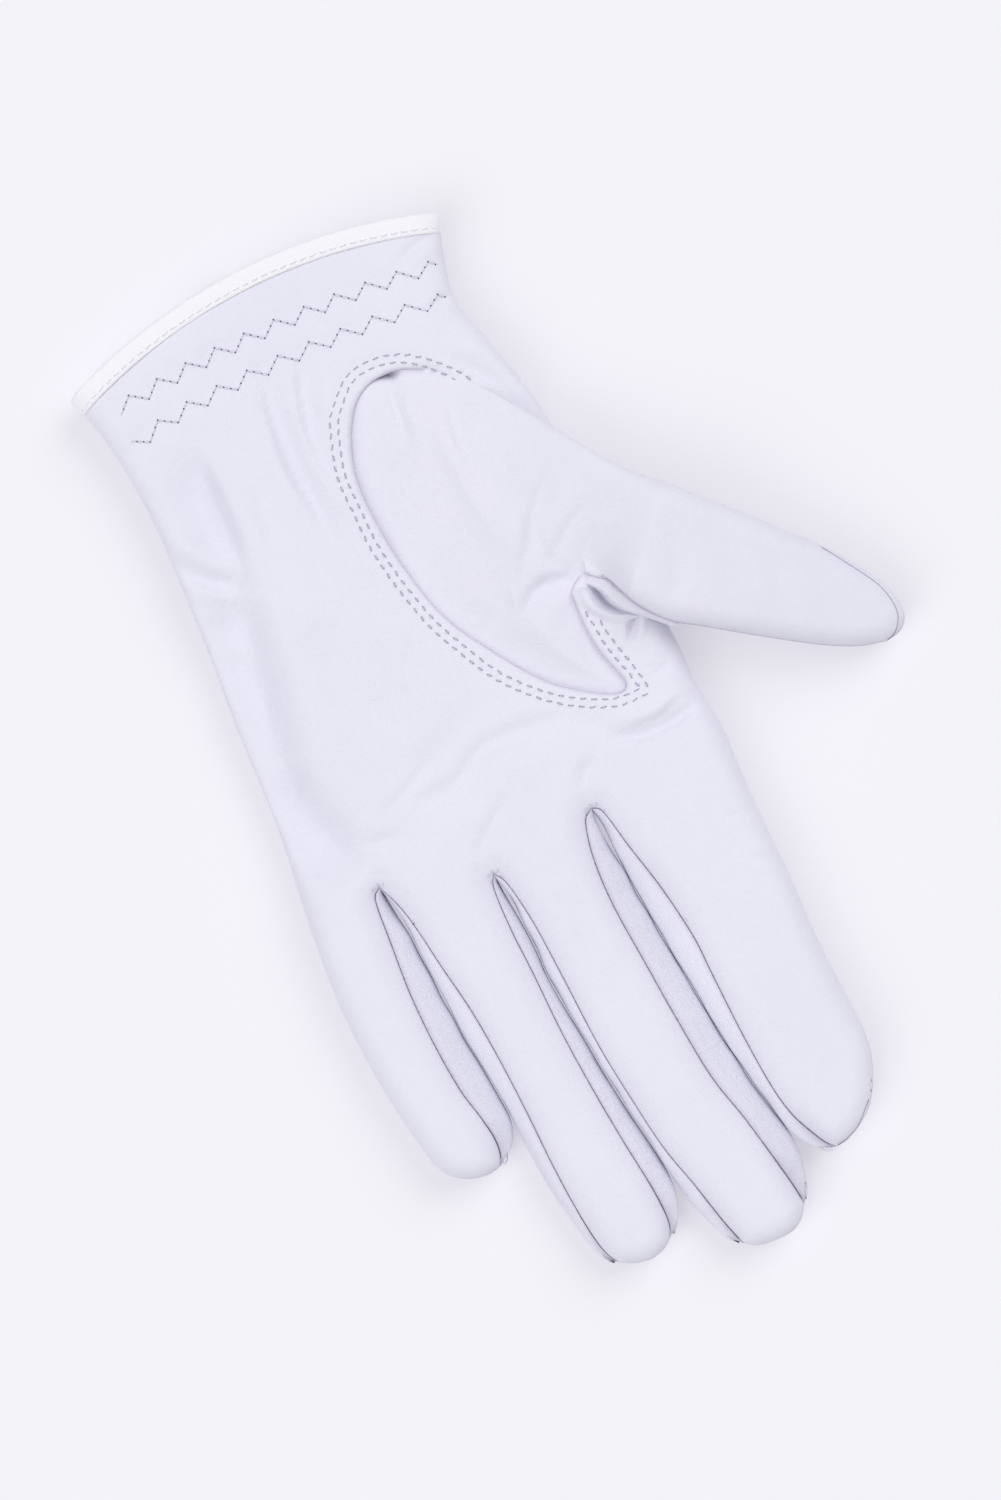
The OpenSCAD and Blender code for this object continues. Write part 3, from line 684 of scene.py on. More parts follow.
def grid_faces(rows, cols, closed_cols=False):
    """Quads of a grid whose point (i, j) has the index i * cols + j."""
    faces = []
    for i in range(0, (rows - 1) * cols, cols):
        for j in range(cols if closed_cols else cols - 1):
            k = (j + 1) % cols
            faces.append((i + j, i + cols + j, i + cols + k, i + k))
    return faces


# ---------------- faces

SEAM_AND_SHADE_WIDTH = 0.2                        # how far the dark line along a seam reaches, and the painted shadow along the palm's edge round the thumb
GROOVE_DEPTH, GROOVE_WIDTH = 0.14, 0.5  # the groove along a seam
ON_EDGE = 0.02                          # a point this near to an edge is on it
MOSTLY_FOLD = 0.6                       # an edge at least this round is a fold


def profile(u, roundness):
    """How far up a face is, from 0 at its edge to 1 at its level, as u goes from 0 to 1."""
    rest = (1 - np.clip(u, 0, 1)) ** 2
    return roundness * np.sqrt(1 - rest) + (1 - roundness) * (1 - rest)


class Face:
    """One face of leather: its outline and holes, the facts of its edges, and the level inside them."""

    def __init__(self, loops, edges, level, up, spacing, cuts, seed, creases=()):
        self.near = Nearest([c for c, _ in edges], [v for _, v in edges], closed=False)
        self.level, self.up = level, up
        flat, self.f = triangulate(loops, cuts, spacing, seed)
        height, fact, dist = self.height(flat)
        self.v = np.column_stack([flat, height])
        if up < 0:
            self.f = self.f[:, ::-1]
        # How dark the seam lines are drawn: dark joints, and painted shadow along the palm's edge round the
        # thumb
        self.seam = fact[:, 3] * bell(dist / SEAM_AND_SHADE_WIDTH)
        groove = GROOVE_DEPTH * fact[:, 3] * bell(dist / GROOVE_WIDTH)
        self.v = self.v - self.normals(fact, dist) * groove[:, None]
        self.n = self.normals(fact, dist)
        self.crinkle = crinkled(flat, creases) if creases else None

    def height(self, flat):
        """Heights of the face over flat points, with the facts of its nearest edge and their distance."""
        dist, fact = self.near(flat)
        f = profile(dist / fact[:, 1], fact[:, 2])
        return fact[:, 0] + (self.level(flat) - fact[:, 0]) * f, fact, dist

    def normals(self, fact, dist):
        """Normals of the face, lying flat along its folds."""
        n = normals_of(self.v, self.f)
        on_fold = (dist < ON_EDGE) & (fact[:, 2] > MOSTLY_FOLD)
        n[on_fold, 2] = 0
        n[on_fold] /= np.maximum(np.linalg.norm(n[on_fold], axis=1), 1e-9)[:, None]
        return n

    def on(self, flat, above=0.0):
        """Points on the face over flat ones."""
        flat = np.atleast_2d(flat)
        return np.column_stack([flat, self.height(flat)[0] + above * self.up])

    def piece(self, name, chosen, material):
        """The leather of the triangles chosen by a test of their centres."""
        centre = self.v[self.f].mean(1)
        return leather_piece(name, self.v, self.f[chosen(centre[:, :2])], self.n, material, self.seam,
                             crinkle=self.crinkle)


# ---------------- which leather belongs to which piece

def thumb_place(p):
    """How far along and how far across the thumb the points are."""
    d = p[:, :2] - THUMB_ROOT
    return d @ ALONG, d @ ACROSS


def thumb_height(s):
    """Height of the thumb's middle at a place along it."""
    return THUMB_MID[0] + (THUMB_MID[1] - THUMB_MID[0]) * (s - THUMB_S0) / (THUMB_S1 - THUMB_S0)


def thumb_region(c, low, high=np.inf):
    """Which points lie in the thumb between two places along it."""
    s, across = thumb_place(c)
    return (s > low) & (s <= high) & (across < THUMB_REACH)


def finger_column(c, finger):
    """Which points lie between the two lines midway to the finger's neighbours."""
    number = list(FINGERS).index(finger)
    borders = 0
    for sides in BORDERS:
        borders += sum(np.interp(c[:, 1], *np.transpose(side)[::-1]) for side in sides) / 2 <= c[:, 0]
    return borders == number


def finger_region(c, finger, end):
    """Which points lie in the leather of a finger's root or tip."""
    knuckle, middle = bend_of(finger, "root")[0], bend_of(finger, "tip")[0]
    low, high = (knuckle, middle) if end == "root" else (middle, np.inf)
    return finger_column(c, finger) & (c[:, 1] > low) & (c[:, 1] <= high)


def hand_region(c):
    """Which points lie in neither part of any finger."""
    fingers = np.zeros(len(c), bool)
    for finger in FINGERS:
        fingers |= finger_region(c, finger, "root") | finger_region(c, finger, "tip")
    return ~fingers


def finger_cuts():
    """The lines along which the fingers' leather is cut into pieces."""
    cuts = []
    for finger, spec in FINGERS.items():
        x0, x1 = spec["x"]
        for end in ("root", "tip"):
            y = bend_of(finger, end)[0]
            cuts.append(straight((x0, y), (x1, y)))
    return cuts


# ---------------- the palm and its fingers

oval_visible = spline(OVAL_EDGE)
oval_under = spline(OVAL_UNDER)
oval_loop = join(oval_visible, oval_under)[:-1]
thumb_fold_curve = spline(THUMB_FOLD)
thumb_tip_curve = spline(THUMB_TIP)
thumb_edge_curve = spline(THUMB_EDGE)
thumb_margin = spline(THUMB_UNDER_PALM)
thumb_outline = join(thumb_fold_curve, thumb_tip_curve, thumb_edge_curve)
thumb_loop = join(thumb_outline, thumb_margin)[:-1]
lifted = nearest_index(thumb_fold_curve, THUMB_FOLD[3])         # where the thumb comes off the palm
# The leather on the thumb's other side ends along this line, under the thumb's upper leather
under_end = spline([THUMB_EDGE[-1], (-33.3, -32), (-33.8, -44), (-33.4, -53), thumb_fold_curve[lifted]])
under_loop = join(thumb_outline[lifted:], under_end)[:-1]
ZIGZAG_ROWS = 2
ZIGZAG_FURROW, ZIGZAG_WIDTH = 0.2, 2.2                      # the furrow along a row of zigzags
GATHER, GATHER_PITCH = 0.35, 6.6                            # how much its depth varies with the gathers
STITCH_FURROW = 0.13                                        # depth of the furrow under a row of stitches
CROTCH_PIT = [(-32.2, -17.8), (-32, -15.4), (-32.6, -13)]   # a dip between the thumb and the palm
PIT_DEPTH, PIT_WIDTH = 4.0, 1.5
THUMB_PRESS, PRESS_REACH = 1.7, 5.0                         # how the thumb presses the leather under it down
# Gentle swells of the leather: each one's height, length and seed
PALM_SWELLS = [(0.28, 46, 3), (0.12, 19, 5)]
FINGER_SWELLS = [(0.14, 24, 8)]
FINE_SWELLS = [(0.03, 7, 9)]
THUMB_SWELLS = [(0.22, 26, 31), (0.05, 9, 32)]


def zigzag_line(x, row):
    """The middle of a zigzag row."""
    return -94.8 + 6.9 * row + 0.0019 * (x - 20) ** 2 + row * 0.005 * np.maximum(x - 22, 0) ** 2


def palm_level(p):
    """Height of the palm's leather inside its edges."""
    x, y = p[:, 0], p[:, 1]
    z = PALM_LEVEL + (FINGER_LEVEL - PALM_LEVEL) * smooth((y - 10) / 25) - 0.25 * smooth((-66 - y) / 20)
    share = 1 - smooth((y - 14) / 14)
    z = z + share * swells(p, PALM_SWELLS) + (1 - share) * swells(p, FINGER_SWELLS) + swells(p, FINE_SWELLS)
    z = z + creased(p, CREASES) + folded(p)
    for row in range(ZIGZAG_ROWS):
        gathered = 1 + GATHER * np.sin(x * 2 * math.pi / GATHER_PITCH)
        z = z - ZIGZAG_FURROW * bell((y - zigzag_line(x, row)) / ZIGZAG_WIDTH) * gathered
    near = (np.abs(x + 12) < 24) & (np.abs(y + 36) < 48)        # the part that the rows of stitches are in
    for curve, reach in ((outer_row, 1.0), (inner_row, 0.8)):
        z[near] -= STITCH_FURROW * bell(distance_to(p[near], curve) / reach)
    z -= PIT_DEPTH * bell(distance_to(p, spline(CROTCH_PIT)) / PIT_WIDTH)
    covered = inside(p, under_loop)
    z[covered] -= THUMB_PRESS * smooth(distance_to(p[covered], thumb_outline) / PRESS_REACH)
    return z


def moved_right(curve, by):
    """The curve moved to its right by a distance."""
    d = np.gradient(curve, axis=0)
    normal = np.stack([d[:, 1], -d[:, 0]], axis=1) / np.linalg.norm(d, axis=1)[:, None]
    return curve + normal * by


ROW_GAP = 1.6           # distance between the two rows of stitches round the thumb
outer_row = spline(OVAL_STITCH, 0.5)
inner_row = spline(moved_right(outer_row, -ROW_GAP)[::6], 0.5)
side_row = spline(OVAL_STITCH_SIDE, 0.5)
inner_side_row = spline(OVAL_STITCH_SIDE_IN, 0.5)

palm_edge = chained(hand_outline(PALM_SIDES))
back_edge = chained(hand_outline(BACK_SIDES))
cuff_arc = arc(CUFF_CENTRE, LEATHER_R, CUFF_RIGHT, CUFF_LEFT)
palm_loop = join(palm_edge[0], cuff_arc)[:-1]
# The visible edge round the thumb gets a dark line, set by its seam fact of 0.6: partly the leather's cut
# edge, partly painted shadow under the palm's folded edge
palm_hole = [edge(oval_visible, PALM_LEVEL - 1.3, 1.1, 1.0, 0.6),
             edge(oval_under, PALM_LEVEL - 2.6, 3.0, 1.0, 0.0)]
palm = Face([palm_loop, oval_loop], [palm_edge] + palm_hole, palm_level, 1, 0.8, finger_cuts(), 11, CREASES)


# ---------------- the back, with its vent at the cuff

VENT_X = (6.8, 11.2)
VENT_END = -58.0


def vent_point(x):
    """Where one side of the vent meets the cuff's edge."""
    return (x, CUFF_CENTRE[1] - math.sqrt(LEATHER_R**2 - (x - CUFF_CENTRE[0]) ** 2))


vent_end = arc((sum(VENT_X) / 2, VENT_END), (VENT_X[1] - VENT_X[0]) / 2, 0, 180)
VENT_LEFT, VENT_RIGHT = [vent_point(x) for x in VENT_X]
back_loop = join(back_edge[0], arc(CUFF_CENTRE, LEATHER_R, CUFF_RIGHT, angle_of(VENT_RIGHT)),
                 straight(VENT_RIGHT, vent_end[0]), vent_end, straight(vent_end[-1], VENT_LEFT),
                 arc(CUFF_CENTRE, LEATHER_R, angle_of(VENT_LEFT), CUFF_LEFT))[:-1]


def back_level(p):
    """Height of the back's leather inside its edges: it lies higher over the closed tab."""
    lift = smooth((-41 - p[:, 1]) / 11)
    z = BACK_LEVEL + (WRIST_BACK - BACK_LEVEL) * lift
    return z + np.abs(0.25 * waves(p, 30, 21)) * (1 - lift)


back = Face([back_loop], [back_edge], back_level, -1, 1.5, finger_cuts(), 12)


# ---------------- the thumb, one folded piece whose upper face comes out of the oval hole in the palm

def thumb_edge_facts(curve, reach, roundness, seam):
    """One stretch of the thumb's outline, with its facts."""
    s = thumb_place(curve)[0]
    one = edge(curve, 0, reach, roundness, seam)
    one[1][:, 0] = np.where(s > THUMB_S0, thumb_height(s), 0)
    return one


# Before the free thumb starts, its two edges climb from the palm: the heights go by the distance along the
# fold, and along the thumb
fold_facts = thumb_edge_facts(thumb_fold_curve, 4.6, 1.0, 0.0)
near_root = thumb_place(thumb_fold_curve)[0] <= THUMB_S0
length = lengths_along(thumb_fold_curve)[near_root]
fold_facts[1][near_root, 0] = np.interp(length, [0, 8, 19, 29, 37, 46, length[-1]],
                                        [8.0, 8.9, 9.4, 10.7, 11.8, 12.8, THUMB_MID[0]])
tip_facts = thumb_edge_facts(thumb_tip_curve, 4.4, 1.0, 0.7)
edge_facts = thumb_edge_facts(thumb_edge_curve, 4.2, 0.85, 1.0)
s = thumb_place(thumb_edge_curve)[0]
near_root = s <= THUMB_S0
edge_facts[1][near_root, 0] = np.interp(s[near_root], [-2, 2, 5, THUMB_S0], [9.2, 10.6, 12.3, THUMB_MID[0]])
thumb_edges = chained([fold_facts, tip_facts, edge_facts])
MARGIN_Z = 8.3          # height of the margin that is sewn under the palm
margin_facts = edge(thumb_margin, MARGIN_Z, 0.4, 0.0, 0.0)
# The part of the thumb's leather that shows, and the line across it where the free thumb starts
core_loop = join(thumb_outline[nearest_index(thumb_fold_curve, THUMB_FOLD[1]):], oval_visible)
root_middle = THUMB_ROOT + ALONG * THUMB_S0
root_line = straight(root_middle - ACROSS * 13, root_middle + ACROSS * 12)
SLIT = [(-10, -77.6), (-13, -76.9), (-16, -75.3)]       # where the thumb leaves the palm's edge
SLIT_DEPTH, SLIT_WIDTH = 2.4, 1.3


def thumb_level(p):
    """Height of the thumb's upper leather inside its edges."""
    s, across = thumb_place(p)
    top = thumb_height(np.maximum(s, THUMB_S0)) + THUMB_HALF
    from_margin = np.where(inside(p, core_loop), distance_to(p, oval_visible), 0)
    from_root = np.where((s > THUMB_S0) & (across < THUMB_REACH), 0, distance_to(p, root_line))
    t = from_margin / np.maximum(from_margin + from_root, 1e-6)
    z = MARGIN_Z + (top - MARGIN_Z) * (0.35 * t + 0.65 * smooth(t))
    z = z + smooth(from_margin / 8) * swells(p, THUMB_SWELLS)
    z = z - SLIT_DEPTH * bell(distance_to(p, spline(SLIT)) / SLIT_WIDTH)
    return z + creased(p, THUMB_CREASES) * smooth(from_margin / 2)


def thumb_cuts():
    """The lines along which the thumb's leather is cut into pieces."""
    cuts = []
    for s in (THUMB_CUT, THUMB_MIDDLE_CUT):
        centre = THUMB_ROOT + ALONG * s
        cuts.append(straight(centre - ACROSS * 16, centre + ACROSS * 14))
    return cuts


thumb = Face([thumb_loop], [thumb_edges, margin_facts], thumb_level, 1, 0.75, thumb_cuts(), 13, THUMB_CREASES)


def thumb_under_level(p):
    """Height of the leather on the thumb's other side."""
    s = thumb_place(p)[0]
    z = np.where(s > THUMB_S0, thumb_height(s) - THUMB_HALF + 0.1, 10.0)
    return np.minimum(z, near_thumb_edge(p)[1][:, 0] - 0.3)


near_thumb_edge = Nearest([thumb_edges[0]], [thumb_edges[1]], closed=False)
thumb_under = Face([under_loop], [thumb_edges], thumb_under_level, -1, 1.3, thumb_cuts(), 14)


# ---------------- fourchettes

FOURCHETTE_U = np.array([0, 0.03, 0.09, 0.18, 0.3, 0.43, 0.57, 0.71, 0.85, 1.0])   # places across the strip
FOURCHETTE_COLS = len(FOURCHETTE_U)
FOURCHETTE_POINTS = 96
UNDER_PALM, OVER_BACK = 0.12, 0.1           # how far inside the leathers' faces its two edges are sewn
NEAR_TOP, NEAR_LOW = (0.62, 0.62, 0.06), (1.116, 1.116, 0.24)   # where its curve bends, on its way down
BULGE, RIPPLE = 0.66, 0.16                  # how far it bulges and ripples
BULGE_FROM, BULGE_OVER = 7, 10              # where its bulge starts and how long it grows, in points
THIN_LEATHER = 0.45     # thickness of the fourchettes and the gusset


def fourchette(name, top, bottom, bend_at, material):
    """The strip between a finger's palm side and its back, which bulges until it meets its neighbour."""
    t_xyz = np.column_stack([top[0], top[1][:, 0] - UNDER_PALM])
    b_xyz = np.column_stack([bottom[0], bottom[1][:, 0] + OVER_BACK])
    t_xyz, b_xyz = [resample(side, count=FOURCHETTE_POINTS)[:-1] for side in (t_xyz, b_xyz)]
    near_top = t_xyz + (b_xyz - t_xyz) * np.array(NEAR_TOP)
    outer = b_xyz[:, :2] - t_xyz[:, :2]
    outer /= np.maximum(np.linalg.norm(outer, axis=1), 0.5)[:, None]
    bulge = BULGE * smooth((np.arange(len(t_xyz)) - BULGE_FROM) / BULGE_OVER)
    near_low = t_xyz + (b_xyz - t_xyz) * np.array(NEAR_LOW)
    near_low[:, :2] += outer * bulge[:, None]
    u = FOURCHETTE_U[None, :, None]
    p = ((1 - u) ** 3 * t_xyz[:, None] + 3 * u * (1 - u) ** 2 * near_top[:, None]
         + 3 * u**2 * (1 - u) * near_low[:, None] + u**3 * b_xyz[:, None])
    count = len(t_xyz)
    v = p.reshape(-1, 3)
    ripple = RIPPLE * waves(np.column_stack([v[:, 1], np.tile(u.ravel() * 6, count)]), 9, 41 + len(name))
    middle = np.tile(np.sin(np.pi * u.ravel()), count)
    tri = two_triangles(grid_faces(count, FOURCHETTE_COLS))
    n = normals_of(v, tri)
    outwards = np.sign((b_xyz - t_xyz)[:, 0].mean())
    if n[:, 0].mean() * outwards < 0:
        tri, n = tri[:, ::-1], -n
    v = v + n * (ripple * middle)[:, None]
    n = normals_of(v, tri)
    seam = np.tile(bell(u.ravel() * 7 / SEAM_AND_SHADE_WIDTH), count)
    row = int(np.argmax(np.maximum(t_xyz[:, 1], b_xyz[:, 1]) > bend_at)) - 1
    upto = tri.max(1) < (row + 1) * FOURCHETTE_COLS
    return (leather_piece(name + "_root_leather", v, tri[upto], n, material, seam, THIN_LEATHER),
            leather_piece(name + "_tip_leather", v, tri[~upto], n, material, seam, THIN_LEATHER))


# ---------------- threads

STITCH_RADIUS = 0.13


def stitch(a, b, up, rise, sink):
    """One stitch as a bowed line whose ends go down into the leather."""
    t = np.linspace(0, 1, 7)[:, None]
    height = rise * np.sin(np.pi * t) ** 0.6 - sink * (1 - np.sin(np.pi * t) ** 0.6)
    return a + (b - a) * t + up * height


def row_of_stitches(curve, normals, pitch, gap=0.22, **shape):
    """Even stitches along a curve in space."""
    length = lengths_along(curve)
    count = max(1, int(round(length[-1] / pitch)))
    at = np.linspace(0, length[-1], count + 1)
    ends = np.column_stack([np.interp(at, length, curve[:, k]) for k in range(3)])
    ups = np.column_stack([np.interp(at, length, normals[:, k]) for k in range(3)])
    rng = np.random.default_rng(count)
    out = []
    for i in range(count):
        d = (ends[i + 1] - ends[i]) * gap / 2
        up = ups[i] + ups[i + 1]
        side = np.cross(d, up) * rng.uniform(-0.06, 0.06) / gap
        out.append(stitch(ends[i] + d + side, ends[i + 1] - d - side, up / np.linalg.norm(up), **shape))
    return out


def threads(name, lines, radius, material, sides=6):
    """All the lines as rounded threads in one mesh, drawn in at their ends."""
    verts, faces, marks, base = [], [], [], 0
    angles = np.linspace(0, 2 * math.pi, sides, endpoint=False)
    for line in lines:
        t = np.gradient(line, axis=0)
        t /= np.linalg.norm(t, axis=1)[:, None]
        flat = np.cross(t, (0, 0, 1.0))
        flat /= np.maximum(np.linalg.norm(flat, axis=1), 1e-6)[:, None]
        other = np.cross(flat, t)
        rings = len(line)
        r = radius * np.concatenate([[0.75], np.ones(rings - 2), [0.75]])
        ring = flat[:, None] * np.cos(angles)[None, :, None] + other[:, None] * np.sin(angles)[None, :, None]
        v = line[:, None] + ring * r[:, None, None]
        verts += [v.reshape(-1, 3), line[:1] - t[:1] * radius * 0.5, line[-1:] + t[-1:] * radius * 0.5]
        # Each ring's mark grows towards the thread's ends, where painted shade of the needle holes darkens it
        marks += [np.repeat(np.abs(np.linspace(-1, 1, rings)) ** 3, sides), np.ones(2)]
        for q in grid_faces(rings, sides, closed_cols=True):
            faces.append(tuple(base + i for i in q[::-1]))
        first, last = base + rings * sides, base + rings * sides + 1
        for j in range(sides):
            k = (j + 1) % sides
            faces.append((first, base + j, base + k))
            faces.append((last, base + (rings - 1) * sides + k, base + (rings - 1) * sides + j))
        base += rings * sides + 2
    return make_mesh(name, np.vstack(verts), faces, None, material, np.concatenate(marks))


def on_face(face, flat, above=0.1):
    """A flat curve laid on a face, with the face's normals along it."""
    p = face.on(flat, above)
    e = 0.4
    dx = face.on(flat + (e, 0)) - face.on(flat - (e, 0))
    dy = face.on(flat + (0, e)) - face.on(flat - (0, e))
    n = np.cross(dx, dy) * face.up
    return p, n / np.linalg.norm(n, axis=1)[:, None]


# ---------------- swept and padded pieces

def swept(name, path, across, up, section, material):
    """A section swept along a path: its points are offsets along across and up at each path point."""
    section = np.array(section, float)
    v = path[:, None] + across[:, None] * section[None, :, :1] + up[:, None] * section[None, :, 1:2]
    rows, cols = len(path), len(section)
    faces = grid_faces(rows, cols, closed_cols=True)
    faces.append(tuple(range(cols))[::-1])
    faces.append(tuple((rows - 1) * cols + j for j in range(cols)))
    obj = make_mesh(name, v.reshape(-1, 3), faces, None, material)
    outward(obj)
    return obj


def outward(obj):
    """Turns a closed mesh's faces outwards."""
    bm = bmesh.new()
    bm.from_mesh(obj.data)
    bmesh.ops.recalc_face_normals(bm, faces=bm.faces)
    bm.to_mesh(obj.data)
    bm.free()


def slab(name, outline, low, high, material, round_by, spacing):
    """A flat piece with rounded edges between two heights."""
    flat, f = triangulate([outline], [], spacing, 5)
    r = min(round_by, (high - low) / 2)
    down = r * (1 - profile(Nearest([outline])(flat)[0] / r, 1.0))
    verts = np.vstack([np.column_stack([flat, high - down]), np.column_stack([flat, low + down])])
    return make_mesh(name, verts, closed_faces(f, len(flat))[1], None, material)


def rounded_box(x0, x1, y0, y1, radius, step=0.8):
    """The outline of a rectangle with rounded corners."""
    corners = [((x1 - radius, y0 + radius), -90), ((x1 - radius, y1 - radius), 0),
               ((x0 + radius, y1 - radius), 90), ((x0 + radius, y0 + radius), 180)]
    loop = join(*[arc(c, radius, a, a + 90, step / 2) for c, a in corners])
    loop = np.vstack([loop, loop[:1]])
    return resample(loop, step)[:-1]


# ---------------- materials

class Nodes:
    """A short way to add nodes to a material.

    A call adds one node. Its inputs are given by name, or as i0, i1 and so on by number, and each is
    a value or the socket that it is linked to.
    """

    def __init__(self, tree):
        self.tree = tree

    def __call__(self, kind, sets=None, **inputs):
        node = self.tree.nodes.new("ShaderNode" + kind)
        for key, value in (sets or {}).items():
            setattr(node, key, value)
        for key, value in inputs.items():
            by_number = key[0] == "i" and key[1:].isdigit()
            socket = node.inputs[int(key[1:]) if by_number else key.replace("_", " ")]
            if isinstance(value, bpy.types.NodeSocket):
                self.tree.links.new(value, socket)
            else:
                socket.default_value = value
        return node

    def times(self, a, b, clamp=False):
        """Two values multiplied."""
        return self("Math", dict(operation="MULTIPLY", use_clamp=clamp), i0=a, i1=b).outputs[0]

    def mark(self, name):
        """A value that is stored on the mesh."""
        return self("Attribute", dict(attribute_name=name)).outputs["Fac"]

    def spread(self, value, low, high, **to):
        """A value with its range from low to high spread to 0 to 1, or to other limits."""
        return self("MapRange", Value=value, From_Min=low, From_Max=high, **to).outputs[0]

    def cells(self, vector, scale, feature="F1", **inputs):
        """The distances in a pattern of cells."""
        node = self("TexVoronoi", dict(feature=feature), Vector=vector, Scale=scale, **inputs)
        return node.outputs["Distance"]

    def bands(self, direction, vector, scale, **inputs):
        """A wave in bands."""
        kind = dict(wave_type="BANDS", bands_direction=direction)
        return self("TexWave", kind, Vector=vector, Scale=scale, **inputs).outputs["Fac"]

    def place(self):
        """Where a point of the mesh is at rest, in millimetres."""
        return self("Attribute", dict(attribute_name="rest_mm")).outputs["Vector"]

    def scaled(self, x, y, z):
        """The same place, scaled along its axes."""
        return self("Mapping", Vector=self.place(), Scale=(x, y, z)).outputs[0]

    def noise(self, vector, scale, detail=3.0, rough=0.55):
        """Cloudy noise."""
        return self("TexNoise", Vector=vector, Scale=scale, Detail=detail, Roughness=rough).outputs[0]

    def mix(self, factor, a, b):
        """Two colours mixed."""
        node = self("Mix", dict(data_type="RGBA"))
        for socket, value in ((0, factor), (6, a), (7, b)):
            if isinstance(value, bpy.types.NodeSocket):
                self.tree.links.new(value, node.inputs[socket])
            else:
                node.inputs[socket].default_value = value if socket == 0 else (*value, 1)
        return node.outputs[2]

    def bump(self, height, distance, strength=1.0, normal=None):
        """The normal over bumps of a height, on top of an earlier normal."""
        node = self("Bump", Height=height, Distance=distance * MM, Strength=strength)
        if normal is not None:
            self.tree.links.new(normal, node.inputs["Normal"])
        return node.outputs[0]

    def surface(self, **inputs):
        """The material's shader and its output."""
        shader = self("BsdfPrincipled", **inputs)
        out = self("OutputMaterial")
        self.tree.links.new(shader.outputs[0], out.inputs["Surface"])


def new_material(name):
    """An empty material, and the way to add nodes to it."""
    m = bpy.data.materials.new(name)
    m.use_nodes = True
    m.node_tree.nodes.clear()
    return m, Nodes(m.node_tree)


RIB_SCALE = 0.314       # the scale at which a wave texture repeats every millimetre


def darker(colour, share):
    """A share of a colour's light."""
    return tuple(c * share for c in colour)


def leather(name, colour, shade, seam_and_shade_colour, rough, grain=1.0, dots=0.0):
    """Thin glove leather: fine pores, soft creasing with painted shade in its crinkles, and darker seams,
    partly painted shadow.
    """
    m, n = new_material(name)
    place = n.place()
    pores = n.cells(place, 1.9, "DISTANCE_TO_EDGE")
    fine = n.cells(place, 3.6)
    fibre = n.noise(place, 1.1, 5.0, 0.62)
    soft = n.noise(n.scaled(1.0, 0.6, 1.0), 0.16, 4.0, 0.6)
    cloudy = n.noise(place, 0.035, 3.0)
    base = n.mix(n.spread(cloudy, 0.35, 0.65), colour, shade)
    base = n.mix(n.times(n.spread(fibre, 0.45, 0.8), 0.1), base, darker(colour, 0.86))
    if dots:
        dot = n.cells(place, 1.7, Randomness=0.6)
        base = n.mix(n.spread(dot, 0.15, 0.45, To_Min=dots, To_Max=0.0), base, darker(colour, 0.72))
    uneven = n.spread(n.noise(place, 1.4, 2.0), 0.3, 0.65, To_Min=0.45, To_Max=1.0)
    # Darker seam lines: dark joints, and painted shadow along the palm's edge round the thumb
    base = n.mix(n.times(n.mark("seam"), uneven, clamp=True), base, seam_and_shade_colour)
    # Painted shade in the crinkles: along their lines the colour darkens towards the dark seam-and-shade
    # colour, and the normal is bumped down
    ridges = n("TexNoise", dict(noise_type="RIDGED_MULTIFRACTAL"), Vector=n.scaled(1.0, 0.7, 1.0),
               Scale=0.42, Detail=3.0, Distortion=0.8).outputs[0]
    line = n.times(n.spread(ridges, 0.35, 1.3), n.mark("crinkle"))
    base = n.mix(n.times(line, 0.07), base, seam_and_shade_colour)
    roughness = n.spread(fibre, 0.3, 0.7, To_Min=rough - 0.05, To_Max=rough + 0.07)
    normal = n.bump(soft, 0.55, 0.35 * grain)
    normal = n.bump(fibre, 0.12, 0.5 * grain, normal)
    normal = n.bump(n.spread(pores, 0.0, 0.16), 0.045, 0.5 * grain, normal)
    normal = n.bump(n.times(line, -1.0), 0.3, 0.9, normal)
    normal = n.bump(fine, 0.04, 0.35 * grain, normal)
    n.surface(Base_Color=base, Roughness=roughness, Normal=normal, Specular_IOR_Level=0.35,
              Sheen_Weight=0.12, Sheen_Roughness=0.4, Subsurface_Weight=0.0)
    return m


def woven(name, colour, rough, pitch, depth, ribbed=False):
    """Tape, cloth or ribbed elastic: fine ribs of thread."""
    m, n = new_material(name)
    place = n.place()
    weave = n.bands("X", place, RIB_SCALE / pitch, Distortion=0.35, Detail=1.0)
    if not ribbed:
        weave = n.times(weave, n.bands("Y", place, RIB_SCALE / pitch, Distortion=0.35, Detail=1.0))
    fuzz = n.noise(place, 2.6, 4.0)
    shade = n("MapRange", Value=weave, To_Min=0.75, To_Max=0.0).outputs[0]
    base = n.mix(n.times(shade, 0.35), colour, darker(colour, 0.7))
    normal = n.bump(fuzz, 0.1, 0.3, n.bump(weave, depth, 0.6))
    n.surface(Base_Color=base, Roughness=rough, Normal=normal, Specular_IOR_Level=0.2,
              Sheen_Weight=0.25, Sheen_Roughness=0.5)
    return m


def thread_finish(name, colour, hole):
    """Twisted thread, darker where its ends go down through the leather: painted shade of the needle holes.
    """
    m, n = new_material(name)
    twist = n.bands("DIAGONAL", n.place(), 1.7, Distortion=0.5)
    base = n.mix(n.times(twist, 0.25), colour, darker(colour, 0.75))
    base = n.mix(n.mark("seam"), base, hole)
    n.surface(Base_Color=base, Roughness=0.5, Normal=n.bump(twist, 0.06, 0.5), Sheen_Weight=0.2,
              Specular_IOR_Level=0.35)
    return m


